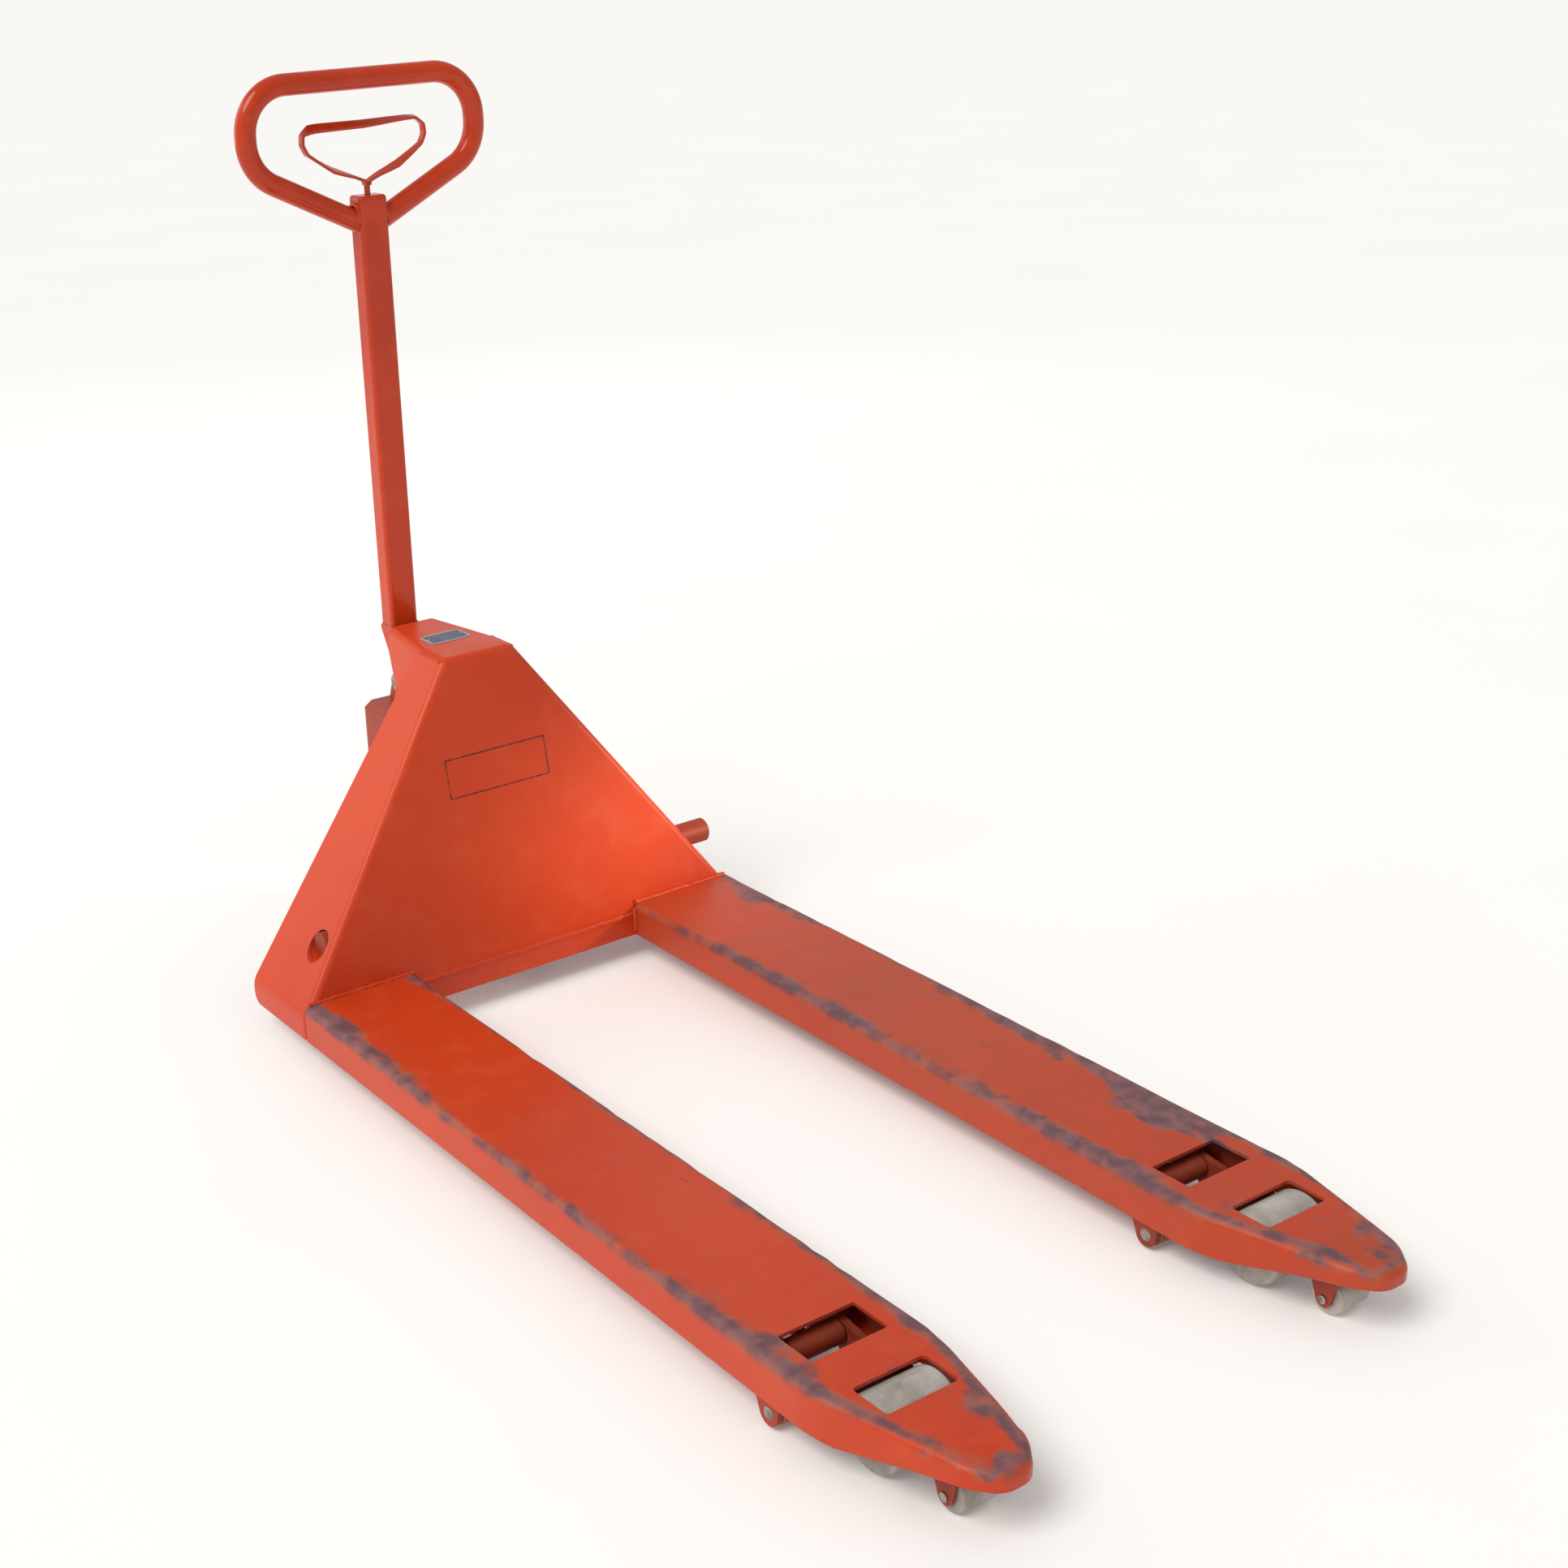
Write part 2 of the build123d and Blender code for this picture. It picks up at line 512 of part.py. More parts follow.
# ---- rocker: cross shaft, short arms to the rods, long arms to the collar ----
with BuildPart() as rocker_shaft:
    bar(SHAFT_X[0], SHAFT_X[1], SHAFT_YZ, SHAFT_R)
    chamfer(rocker_shaft.edges().filter_by(GeomType.CIRCLE), length=1.5)
save(rocker_shaft, "rocker_shaft")
with BuildPart() as rod_arms:
    for side_name, side in SIDES:
        x_low, x_high = sorted(side * x for x in rod_arm_x())
        web_plate(x_low, x_high, ((SHAFT_YZ, 26), (rod_arm_tip(), 11)))
        bore(x_low - 1, x_high + 1, SHAFT_YZ, SHAFT_R + SEATED)
        bore(x_low - 1, x_high + 1, rod_arm_tip(), ROD_PIN_R + SEATED)
save(rod_arms, "rod_arms")
with BuildPart() as rod_pins:
    for side_name, side in SIDES:
        pin_end = FORK_X + ROD_EYE_HALF + 2
        x_low, x_high = sorted((side * (rod_arm_x()[0] - 2), side * pin_end))
        bar(x_low, x_high, rod_arm_tip(), ROD_PIN_R)
        x_low, x_high = sorted((side * pin_end, side * (pin_end + 3)))
        bar(x_low, x_high, rod_arm_tip(), ROD_PIN_R + 5)
save(rod_pins, "rod_pins")
with BuildPart() as lift_arms:
    tip = Vector(0, *LIFT_ARM_TIP)
    arm_length = (tip - Vector(0, *SHAFT_YZ)).length
    arm_slope = (tip - Vector(0, *SHAFT_YZ)).normalized()
    slot_ends = [(LIFT_ARM_TIP[0] + arm_slope.Y * shift, LIFT_ARM_TIP[1] + arm_slope.Z * shift)
                 for shift in (1.5 - LIFT_ARM_SLOT, 1.5)]
    for side_name, side in SIDES:
        x_low, x_high = sorted((side * LIFT_ARM_X[0], side * LIFT_ARM_X[1]))
        web_plate(x_low, x_high, ((SHAFT_YZ, 26), (LIFT_ARM_TIP, 19)))
        bore(x_low - 1, x_high + 1, SHAFT_YZ, SHAFT_R + SEATED)
        with BuildSketch(cross_plane(x_low - 1)):
            for end in slot_ends:
                with Locations(world(end)):
                    Circle(FRAME_PIN_R + 0.9)
            make_hull()
        extrude(amount=x_high - x_low + 2, mode=Mode.SUBTRACT)
save(lift_arms, "lift_arms")

# ---- collar round the pump that the long arms carry ----
with BuildPart() as bearing_frame:
    upright(70, RING_Z[0], RING_Z[1], (0, STEER_Y))
    for side_name, side in SIDES:
        x_low, x_high = sorted((side * 50, side * 108))
        block((x_low, x_high), (226, 260), RING_Z)
        x_low, x_high = sorted((side * 104, side * 126))
        block((x_low, x_high), (226, 260), (184, 208))
        bore(x_low - 1, x_high + 1, LIFT_ARM_TIP, FRAME_PIN_R + SEATED)
    upright(COLLAR_BOSS_R + 0.5, RING_Z[0] - 5, RING_Z[1] + 5, (0, STEER_Y), mode=Mode.SUBTRACT)
save(bearing_frame, "bearing_frame")
with BuildPart() as bearing_frame_pins:
    for side_name, side in SIDES:
        x_low, x_high = sorted((side * 106, side * 142))
        bar(x_low, x_high, LIFT_ARM_TIP, FRAME_PIN_R)
        x_low, x_high = sorted((side * 142, side * 145))
        bar(x_low, x_high, LIFT_ARM_TIP, FRAME_PIN_R + 4)
save(bearing_frame_pins, "bearing_frame_pins")

# ---- ram ----
with BuildPart() as ram:
    upright(RAM_R, RAM_BOTTOM, CAP_Z - PLATE - 18, (0, STEER_Y))
    upright(22, CAP_Z - PLATE - 18, CAP_Z - PLATE - 12 - JOIN, (0, STEER_Y))
save(ram, "ram")

# ---- pump casting: reservoir block, round boss, neck and axle boss ----
with BuildPart() as pump_body:
    block((-BLOCK_HALF_WIDTH, BLOCK_HALF_WIDTH), BLOCK_Y, BLOCK_Z)
    fillet(pump_body.edges().filter_by(Axis.Z), radius=16)
    rear_top = pump_body.faces().sort_by(Axis.Z)[-1].edges().sort_by(Axis.Y)[-1]
    chamfer(rear_top, length=9)
    upright(COLLAR_BOSS_R, RING_Z[0] - 1, BLOCK_Z[0], (0, STEER_Y))
    block((-15, 15), (STEER_Y - 36, STEER_Y + 36), (AXLE_Z, RING_Z[0] - 1))
    bar(-16, 16, (STEER_Y, AXLE_Z), 27)
    for side_name, side in SIDES:
        x_low, x_high = sorted((side * LUG_X[0], side * LUG_X[1]))
        web_plate(x_low, x_high, ((PIVOT_YZ, 15), ((PIVOT_YZ[0] - 12, BLOCK_Z[1] + 3), 5),
                                  ((PIVOT_YZ[0] + 22, BLOCK_Z[1] + 3), 5)))
        bore(x_low - 1, x_high + 1, PIVOT_YZ, PIVOT_PIN_R + SEATED)
    web_plate(46, 52, (((262, 384), 8), ((256, BLOCK_Z[1] + 2), 4), ((272, BLOCK_Z[1] + 2), 4)))
    bore(45, 53, (262, 384), 4 + SEATED)
    upright(RAM_R + RUNNING, RAM_BOTTOM - 5, BLOCK_Z[1] + 1, (0, STEER_Y), mode=Mode.SUBTRACT)
    upright(POCKET_R, POCKET_FLOOR, BLOCK_Z[1] + 1, (0, PLUNGER_Y), mode=Mode.SUBTRACT)
    upright(PLUNGER_R + RUNNING, POCKET_FLOOR - PLUNGER_IN_BORE - PLUNGER_STROKE - 2, POCKET_FLOOR + 1,
            (0, PLUNGER_Y), mode=Mode.SUBTRACT)
    bore(-17, 17, (STEER_Y, AXLE_Z), AXLE_R + SEATED)
save(pump_body, "pump_body")
with BuildPart() as thrust_ring:
    with BuildSketch(Plane.XY.offset(RING_Z[1] + 0.3)):
        with Locations((0, HEEL_Y + STEER_Y)):
            Circle(57)
            Circle(COLLAR_BOSS_R + 0.3, mode=Mode.SUBTRACT)
    extrude(amount=BLOCK_Z[0] - JOIN - RING_Z[1] - 0.3)
save(thrust_ring, "thrust_ring")
with BuildPart() as lift_cylinder:
    upright(CYLINDER_R, BLOCK_Z[1] + JOIN, CYLINDER_TOP, (0, STEER_Y))
    upright(RAM_R + RUNNING, BLOCK_Z[1], CYLINDER_TOP + 1, (0, STEER_Y), mode=Mode.SUBTRACT)
save(lift_cylinder, "lift_cylinder")
with BuildPart() as gland_nut:
    with BuildSketch(Plane.XY.offset(CYLINDER_TOP + JOIN)):
        with Locations((0, HEEL_Y + STEER_Y)):
            RegularPolygon(CYLINDER_R, 8)
            Circle(RAM_R + RUNNING, mode=Mode.SUBTRACT)
    extrude(amount=12)
save(gland_nut, "gland_nut")

# ---- plugs and valve on the pump block ----
with BuildPart() as filler_plugs:
    for plug_x, plug_y in ((-48, 175), (48, 175)):
        upright(9, BLOCK_Z[1], BLOCK_Z[1] + 3, (plug_x, plug_y))
        with BuildSketch(Plane.XY.offset(BLOCK_Z[1] + 3)):
            with Locations((plug_x, HEEL_Y + plug_y)):
                RegularPolygon(8, 6)
        extrude(amount=6)
save(filler_plugs, "filler_plugs")
with BuildPart() as release_valve:
    upright(8, BLOCK_Z[1], BLOCK_Z[1] + 5, (42, 236))
    upright(3.5, BLOCK_Z[1] + 5, BLOCK_Z[1] + 9.7, (42, 236))
save(release_valve, "release_valve")
with BuildPart() as release_lever:
    web_plate(39, 45, (((262, 384), 7), ((236, 374), 4)))
    web_plate(39, 45, (((262, 384), 7), ((266, 402), 4)))
    bore(38, 46, (262, 384), 4 + RUNNING)
save(release_lever, "release_lever")
with BuildPart() as release_lever_pin:
    bar(38.8, 54, (262, 384), 4)
save(release_lever_pin, "release_lever_pin")

# ---- pump plunger and its return spring ----
with BuildPart() as pump_plunger:
    upright(PLUNGER_R, POCKET_FLOOR - PLUNGER_IN_BORE, PLUNGER_CAP_TOP - 7, (0, PLUNGER_Y))
    upright(PLUNGER_FLANGE_R, PLUNGER_CAP_TOP - 7, PLUNGER_CAP_TOP - 4, (0, PLUNGER_Y))
    upright(PLUNGER_CAP_R, PLUNGER_CAP_TOP - 4, PLUNGER_CAP_TOP, (0, PLUNGER_Y))
save(pump_plunger, "pump_plunger")
spring_height = PLUNGER_CAP_TOP - 7 - POCKET_FLOOR - 3
with BuildPart() as plunger_spring:
    with BuildLine(Plane.XY.offset(POCKET_FLOOR + 1.5)) as coil:
        Helix(pitch=spring_height / 6, height=spring_height, radius=11)
    coil_path = coil.line.moved(Location((0, HEEL_Y + PLUNGER_Y, 0)))
    with BuildSketch(Plane(origin=coil_path @ 0, z_dir=coil_path % 0)):
        Circle(1.1)
    sweep(path=coil_path)
save(plunger_spring, "plunger_spring")

# ---- steer axle, washers and the two steer wheels ----
with BuildPart() as steer_axle:
    bar(-75, 75, (STEER_Y, AXLE_Z), AXLE_R)
    chamfer(steer_axle.edges().filter_by(GeomType.CIRCLE), length=1)
save(steer_axle, "steer_axle")
with BuildPart() as axle_washers:
    for side_name, side in SIDES:
        for near, far, radius in ((16.3, 18.7, 17), (69.3, 72.3, 17)):
            x_low, x_high = sorted((side * near, side * far))
            bar(x_low, x_high, (STEER_Y, AXLE_Z), radius, AXLE_R + SEATED)
save(axle_washers, "axle_washers")
for side_name, side in SIDES:
    x_low, x_high = sorted((side * STEER_WHEEL_X[0], side * STEER_WHEEL_X[1]))
    axle_point = (STEER_Y, AXLE_Z)
    with BuildPart() as steer_hub:
        bar(x_low, x_high, axle_point, 32)
        bar(x_low + 17, x_high - 17, axle_point, STEER_HUB_R)
        bar(x_low + 2, x_high - 2, axle_point, STEER_HUB_R, STEER_HUB_R - 9)
        bore(x_low - 1, x_high + 1, axle_point, 15)
        bore(x_low - 1, x_low + BEARING_WIDTH, axle_point, BEARING_R + SEATED)
        bore(x_high - BEARING_WIDTH, x_high + 1, axle_point, BEARING_R + SEATED)
    save(steer_hub, f"steer_hub_{side_name}")
    with BuildPart() as steer_tyre:
        bar(x_low, x_high, axle_point, STEER_WHEEL_R, STEER_HUB_R + SEATED)
        rims = steer_tyre.edges().filter_by(GeomType.CIRCLE).filter_by(lambda e: e.radius > STEER_WHEEL_R - 1)
        fillet(rims, radius=4)
    save(steer_tyre, f"steer_tyre_{side_name}")
    with BuildPart() as steer_bearings:
        bar(x_low + 0.4, x_low + BEARING_WIDTH - 0.2, axle_point, BEARING_R, AXLE_R + RUNNING)
        bar(x_high - BEARING_WIDTH + 0.2, x_high - 0.4, axle_point, BEARING_R, AXLE_R + RUNNING)
    save(steer_bearings, f"steer_bearings_{side_name}")

# ---- handle: foot, pins, tube, grip ----
with BuildPart() as handle_foot:
    half_foot = LUG_X[0] - 0.3
    web_plate(-half_foot, half_foot, (
        (PIVOT_YZ, 12), (cam_point(), 8.5), ((288, 440), 6), ((TUBE_Y - 12, TUBE_Z[0] - 4), 4),
        ((TUBE_Y + 10, TUBE_Z[0] - 6), 6)))
    block((-half_foot, half_foot), (TUBE_Y - 17, TUBE_Y + 17), (TUBE_Z[0] - JOIN, TUBE_Z[0] + 20), mode=Mode.SUBTRACT)
    block((-8.4, 8.4), (263, 300), (360, 417), mode=Mode.SUBTRACT)
    bore(-30, 30, PIVOT_YZ, PIVOT_PIN_R + RUNNING)
    bore(-30, 30, cam_point(), CAM_PIN_R + SEATED)
save(handle_foot, "handle_foot")
with BuildPart() as handle_pivot_pin:
    bar(-36, 36, PIVOT_YZ, PIVOT_PIN_R)
    for end in (-1, 1):
        x_low, x_high = sorted((end * 36, end * 38.5))
        bar(x_low, x_high, PIVOT_YZ, PIVOT_PIN_R + 3)
save(handle_pivot_pin, "handle_pivot_pin")
with BuildPart() as cam_roller:
    bar(-8, 8, cam_point(), CAM_ROLLER_R, CAM_PIN_R + RUNNING)
save(cam_roller, "cam_roller")
with BuildPart() as cam_roller_pin:
    bar(-20, 20, cam_point(), CAM_PIN_R)
save(cam_roller_pin, "cam_roller_pin")
with BuildPart() as handle_tube:
    with BuildSketch(Plane.XY.offset(TUBE_Z[0])):
        with Locations((0, HEEL_Y + TUBE_Y)):
            RectangleRounded(TUBE_SIZE[0], TUBE_SIZE[1], 6)
    extrude(amount=TUBE_Z[1] - TUBE_Z[0])
    fillet(handle_tube.faces().sort_by(Axis.Z)[-1].edges(), radius=5)
    with BuildSketch(Plane.XY.offset(TUBE_Z[0])):
        with Locations((0, HEEL_Y + TUBE_Y)):
            RectangleRounded(TUBE_SIZE[0] - 2 * TUBE_WALL, TUBE_SIZE[1] - 2 * TUBE_WALL, 3)
    extrude(amount=TUBE_Z[1] - TUBE_Z[0] - 2 * TUBE_WALL, mode=Mode.SUBTRACT)
    upright(RELEASE_ROD_R + RUNNING, TUBE_Z[1] - 10, TUBE_Z[1] + 5, (0, TUBE_Y), mode=Mode.SUBTRACT)
save(handle_tube, "handle_tube")
with BuildPart() as grip_loop:
    grip_plane = Plane.XZ.offset(-(HEEL_Y + TUBE_Y))
    with BuildLine(grip_plane) as grip_path:
        FilletPolyline(
            (10, GRIP_ROOT_Z - 5), (GRIP_HALF_WIDTH, GRIP_SHOULDER_Z), (GRIP_HALF_WIDTH, GRIP_TOP_Z),
            (-GRIP_HALF_WIDTH, GRIP_TOP_Z), (-GRIP_HALF_WIDTH, GRIP_SHOULDER_Z), (-10, GRIP_ROOT_Z - 5),
            radius=GRIP_BEND)
    with BuildSketch(Plane(origin=grip_path.line @ 0, z_dir=grip_path.line % 0)):
        Circle(GRIP_TUBE_R)
        Circle(GRIP_TUBE_R - GRIP_WALL, mode=Mode.SUBTRACT)
    sweep(path=grip_path.line)
    half_tube = TUBE_SIZE[0] / 2 + JOIN
    block((-half_tube, half_tube), (TUBE_Y - 30, TUBE_Y + 30), (GRIP_ROOT_Z - 60, TUBE_Z[1] + 20), mode=Mode.SUBTRACT)
save(grip_loop, "grip_loop")

# ---- release loop in the grip, its rod and return spring inside the tube ----
with BuildPart() as release_loop:
    loop_plane = Plane.XZ.offset(-(HEEL_Y + TUBE_Y + LOOP_DEPTH / 2))
    with BuildSketch(loop_plane) as loop_outline:
        with BuildLine():
            FilletPolyline((-3, 1056), (3, 1056), (94, 1111), (90, 1142), (-90, 1142), (-94, 1111),
                           radius=2.9, close=True)
        make_face()
        offset(amount=-LOOP_BAR, mode=Mode.SUBTRACT)
    extrude(amount=LOOP_DEPTH)
    with BuildSketch(Plane.XY.offset(TUBE_Z[1] - 22)):
        with Locations((0, HEEL_Y + TUBE_Y)):
            Circle(RELEASE_ROD_R)
    extrude(amount=34)
save(release_loop, "release_loop")
with BuildPart() as release_rod:
    upright(RELEASE_ROD_R, TUBE_Z[0] + 12, TUBE_Z[1] - 22 - JOIN, (0, TUBE_Y))
    upright(7, TUBE_Z[1] - 52, TUBE_Z[1] - 48, (0, TUBE_Y))
save(release_rod, "release_rod")
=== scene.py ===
# %% [markdown]
# # A hand pallet truck
# A pallet truck is welded from bent and pressed sheet steel: two fork channels, a leaning frame with a cap,
# a pump that carries the steer wheels, and a handle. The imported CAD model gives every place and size. This
# file gives the sheet metal its bends, welds and dents, and gives every part its finish.

# %% Load the frame
import json
from math import cos, pi, radians, sin

import bmesh
import bpy
from mathutils import Euler, Matrix, Vector, noise

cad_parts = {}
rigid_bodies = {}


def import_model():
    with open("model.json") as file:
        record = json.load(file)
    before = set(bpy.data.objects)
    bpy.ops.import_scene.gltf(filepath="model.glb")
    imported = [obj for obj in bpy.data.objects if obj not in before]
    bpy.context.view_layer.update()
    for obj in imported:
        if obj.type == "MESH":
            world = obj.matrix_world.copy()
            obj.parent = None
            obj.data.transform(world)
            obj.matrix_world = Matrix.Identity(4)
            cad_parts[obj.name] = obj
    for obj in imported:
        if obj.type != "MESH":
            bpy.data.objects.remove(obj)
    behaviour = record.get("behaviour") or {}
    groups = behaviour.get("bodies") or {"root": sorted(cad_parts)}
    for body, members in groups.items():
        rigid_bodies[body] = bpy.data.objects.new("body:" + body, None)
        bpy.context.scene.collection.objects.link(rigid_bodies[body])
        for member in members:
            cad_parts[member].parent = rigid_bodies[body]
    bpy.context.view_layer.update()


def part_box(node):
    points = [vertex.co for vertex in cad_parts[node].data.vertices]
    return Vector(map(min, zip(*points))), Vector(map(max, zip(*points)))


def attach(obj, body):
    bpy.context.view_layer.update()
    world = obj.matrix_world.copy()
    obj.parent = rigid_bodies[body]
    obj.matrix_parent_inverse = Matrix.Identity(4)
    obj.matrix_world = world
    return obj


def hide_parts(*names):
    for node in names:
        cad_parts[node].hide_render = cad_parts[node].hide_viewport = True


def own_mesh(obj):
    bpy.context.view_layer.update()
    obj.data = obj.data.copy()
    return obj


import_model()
MM = 0.001
FORK_LOW, FORK_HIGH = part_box("fork_left")
FRAME_LOW, FRAME_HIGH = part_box("frame_front")
HOOD_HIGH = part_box("hood")[1]
SIDE_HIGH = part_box("frame_side_left")[1]
TUBE_LOW, TUBE_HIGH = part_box("handle_tube")
SHAFT_LOW, SHAFT_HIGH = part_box("rocker_shaft")
HEEL_Y = FORK_HIGH.y
TIP_Y = FORK_LOW.y
FORK_TOP = FORK_HIGH.z
FORK_X = (FORK_HIGH.x + FORK_LOW.x) / -2
FORK_HALF = (FORK_HIGH.x - FORK_LOW.x) / 2
SIDES = (("left", -1), ("right", 1))
print("forks run from", round(TIP_Y, 3), "to", round(HEEL_Y, 3))

# %% [markdown]
# ## Camera
# The truck is seen from above its left fork, a little tilted, as a person standing in front of it would see
# it. The camera's turn is built from three simple turns: around the upright, up or down, and the tilt of
# the camera itself. The lens is a little longer than normal, which keeps the near fork from looking too
# large.

# %% Camera
CAMERA_PLACE = (-1.474, -1.979, 1.400)
CAMERA_AROUND = -32.894
CAMERA_ABOVE = 21.517
CAMERA_TILT = -2.670
CAMERA_LENS = 52.71
CAMERA_SHIFT = (0.1282, 0.0100)
camera_data = bpy.data.cameras.new("camera")
camera = bpy.data.objects.new("camera", camera_data)
bpy.context.scene.collection.objects.link(camera)
around = Matrix.Rotation(radians(CAMERA_AROUND), 4, "Z")
above = Matrix.Rotation(radians(90 - CAMERA_ABOVE), 4, "X")
tilt = Matrix.Rotation(radians(CAMERA_TILT), 4, "Z")
camera.matrix_world = Matrix.Translation(CAMERA_PLACE) @ around @ above @ tilt
camera_data.lens = CAMERA_LENS
camera_data.shift_x, camera_data.shift_y = CAMERA_SHIFT
bpy.context.scene.camera = camera
print("camera at", CAMERA_PLACE)

# %% [markdown]
# ## Floor and light
# A pale floor and a pale room all round give the soft daylight of a workshop door. A very soft sun stands
# high on the left, so the left side plate is the lightest face and the front plate falls into a deeper
# orange. Two large panels behind the truck give the paint its sheen, and a small warm lamp on the right
# lights one side of the front plate. Plain colours are kept as they are by the standard view transform.

# %% Floor and light
bpy.context.scene.view_settings.view_transform = "Standard"
FLOOR_SIZE = 400
bpy.ops.object.select_all(action="DESELECT")
bpy.ops.mesh.primitive_plane_add(size=FLOOR_SIZE, location=(0, 0, 0))
floor = bpy.context.active_object
floor.name = "floor"
SUN_FROM = (-1.0, -0.12, 1.25)
SUN_STRENGTH = 1.75
SUN_SPREAD = 34.0
LAMPS = (
    ("rear_left_lamp", (-2.1, 3.6, 1.9), (-0.1, 0.4, 0.2), 2.8, 180, 20.0, (1.0, 0.98, 0.94)),
    ("rear_right_lamp", (2.3, 3.8, 2.1), (0.1, 0.1, 0.1), 2.8, 180, 6.0, (1.0, 0.98, 0.96)),
    ("side_lamp", (1.5, -0.75, 0.75), (0.24, 0.47, 0.19), 0.2, 13, 0.22, (1.0, 0.84, 0.62)),
)


def hang_lamp(name, kind, place, target, power, tint):
    """A lamp of one kind at a place, turned to a target."""
    lamp_data = bpy.data.lights.new(name, kind)
    lamp_data.energy = power
    lamp_data.color = tint
    lamp = bpy.data.objects.new(name, lamp_data)
    bpy.context.scene.collection.objects.link(lamp)
    aim = Vector(target) - Vector(place)
    lamp.matrix_world = Matrix.Translation(place) @ aim.to_track_quat("-Z", "Y").to_matrix().to_4x4()
    return lamp_data


sun = hang_lamp("soft_sun", "SUN", SUN_FROM, (0, 0, 0), SUN_STRENGTH, (1.0, 0.985, 0.96))
sun.angle = radians(SUN_SPREAD)
for name, place, target, size, spread, power, tint in LAMPS:
    panel = hang_lamp(name, "AREA", place, target, power, tint)
    panel.shape = "DISK"
    panel.size = size
    panel.spread = radians(spread)
room = bpy.data.worlds.new("room")
room.use_nodes = True
ROOM_LIGHT = 0.52
ROOM_SEEN = 0.93
sky = room.node_tree.nodes["Background"]
sky.inputs["Color"].default_value = (1.0, 0.99, 0.975, 1.0)
seen = room.node_tree.nodes.new("ShaderNodeLightPath")
strength = room.node_tree.nodes.new("ShaderNodeMapRange")
strength.inputs["To Min"].default_value = ROOM_LIGHT
strength.inputs["To Max"].default_value = ROOM_SEEN
room.node_tree.links.new(seen.outputs["Is Camera Ray"], strength.inputs["Value"])
room.node_tree.links.new(strength.outputs[0], sky.inputs["Strength"])
bpy.context.scene.world = room
print("lamps", len(LAMPS) + 1)

# %% [markdown]
# ## Tools for working by hand
# Each sheet part starts as a box that is cut, bent and hollowed in edit mode. Faces and edges are picked by
# where they are or which way they face, so the same steps work if a size changes. An operator acts on
# everything that is selected, so each step first clears the selection.

# %% Tools for working by hand
def start_box(name, low, high):
    """A box between two corners, alone in the selection, with its place in its mesh."""
    bpy.ops.object.select_all(action="DESELECT")
    bpy.ops.mesh.primitive_cube_add(size=1, location=(Vector(low) + Vector(high)) / 2)
    piece = bpy.context.active_object
    piece.name = name
    piece.data.name = name
    piece.scale = Vector(high) - Vector(low)
    bpy.ops.object.transform_apply(location=True, rotation=True, scale=True)
    return piece


def start_cylinder(name, centre, axis, radius, length, sides=48):
    """A round bar about a centre, along X, Y or Z."""
    turns = {"X": (0, pi / 2, 0), "Y": (pi / 2, 0, 0), "Z": (0, 0, 0)}
    bpy.ops.object.select_all(action="DESELECT")
    bpy.ops.mesh.primitive_cylinder_add(vertices=sides, radius=radius, depth=length, location=centre,
                                        rotation=turns[axis])
    piece = bpy.context.active_object
    piece.name = name
    piece.data.name = name
    bpy.ops.object.transform_apply(location=True, rotation=True, scale=True)
    return piece


def alone(piece):
    """Make one piece the only selected and active one."""
    if bpy.context.mode != "OBJECT":
        bpy.ops.object.mode_set(mode="OBJECT")
    bpy.ops.object.select_all(action="DESELECT")
    piece.select_set(True)
    bpy.context.view_layer.objects.active = piece


def choose(piece, kind, test):
    """In edit mode, select only the vertices, edges or faces that pass the test."""
    bpy.ops.mesh.select_mode(type=kind)
    bpy.ops.mesh.select_all(action="DESELECT")
    mesh = bmesh.from_edit_mesh(piece.data)
    mesh.normal_update()
    items = {"VERT": mesh.verts, "EDGE": mesh.edges, "FACE": mesh.faces}[kind]
    picked = [item for item in items if test(item)]
    for item in picked:
        item.select_set(True)
    mesh.select_flush_mode()
    bmesh.update_edit_mesh(piece.data)
    return len(picked)


def cut(point, normal, drop_outer=False):
    """Cut the whole mesh by a plane, and drop what the normal points to if asked."""
    bpy.ops.mesh.select_all(action="SELECT")
    bpy.ops.mesh.bisect(plane_co=point, plane_no=Vector(normal).normalized(), use_fill=drop_outer,
                        clear_outer=drop_outer, clear_inner=False)


def middle(item):
    """The middle of an edge or face."""
    points = [v.co for v in item.verts]
    return sum(points, Vector()) / len(points)


def upright_edge(edge):
    """Whether an edge runs straight up."""
    along = edge.verts[1].co - edge.verts[0].co
    return abs(along.z) > 0.99 * along.length


def modify(piece, kind, **settings):
    """Add a modifier with its settings and apply it."""
    alone(piece)
    modifier = piece.modifiers.new(kind.lower(), kind)
    for name, value in settings.items():
        setattr(modifier, name, value)
    bpy.ops.object.modifier_apply(modifier=modifier.name)


def cut_out(piece, cutter):
    """Take a cutter's shape out of a piece and throw the cutter away."""
    modify(piece, "BOOLEAN", object=cutter, operation="DIFFERENCE", solver="EXACT")
    bpy.data.objects.remove(cutter)


def crease_smooth(piece, angle=35.0):
    """Smooth shading that stays flat on the big faces and crisp at the sheet's cut edges."""
    alone(piece)
    bpy.ops.object.shade_smooth_by_angle(angle=radians(angle))
    modify(piece, "WEIGHTED_NORMAL", keep_sharp=True, weight=80)


def copy_to(piece, name, shift):
    """A copy of a finished piece with its own mesh, moved inside that mesh."""
    twin = piece.copy()
    twin.data = piece.data.copy()
    twin.name = name
    twin.data.name = name
    bpy.context.scene.collection.objects.link(twin)
    twin.data.transform(Matrix.Translation(shift))
    return twin


print("tools ready")

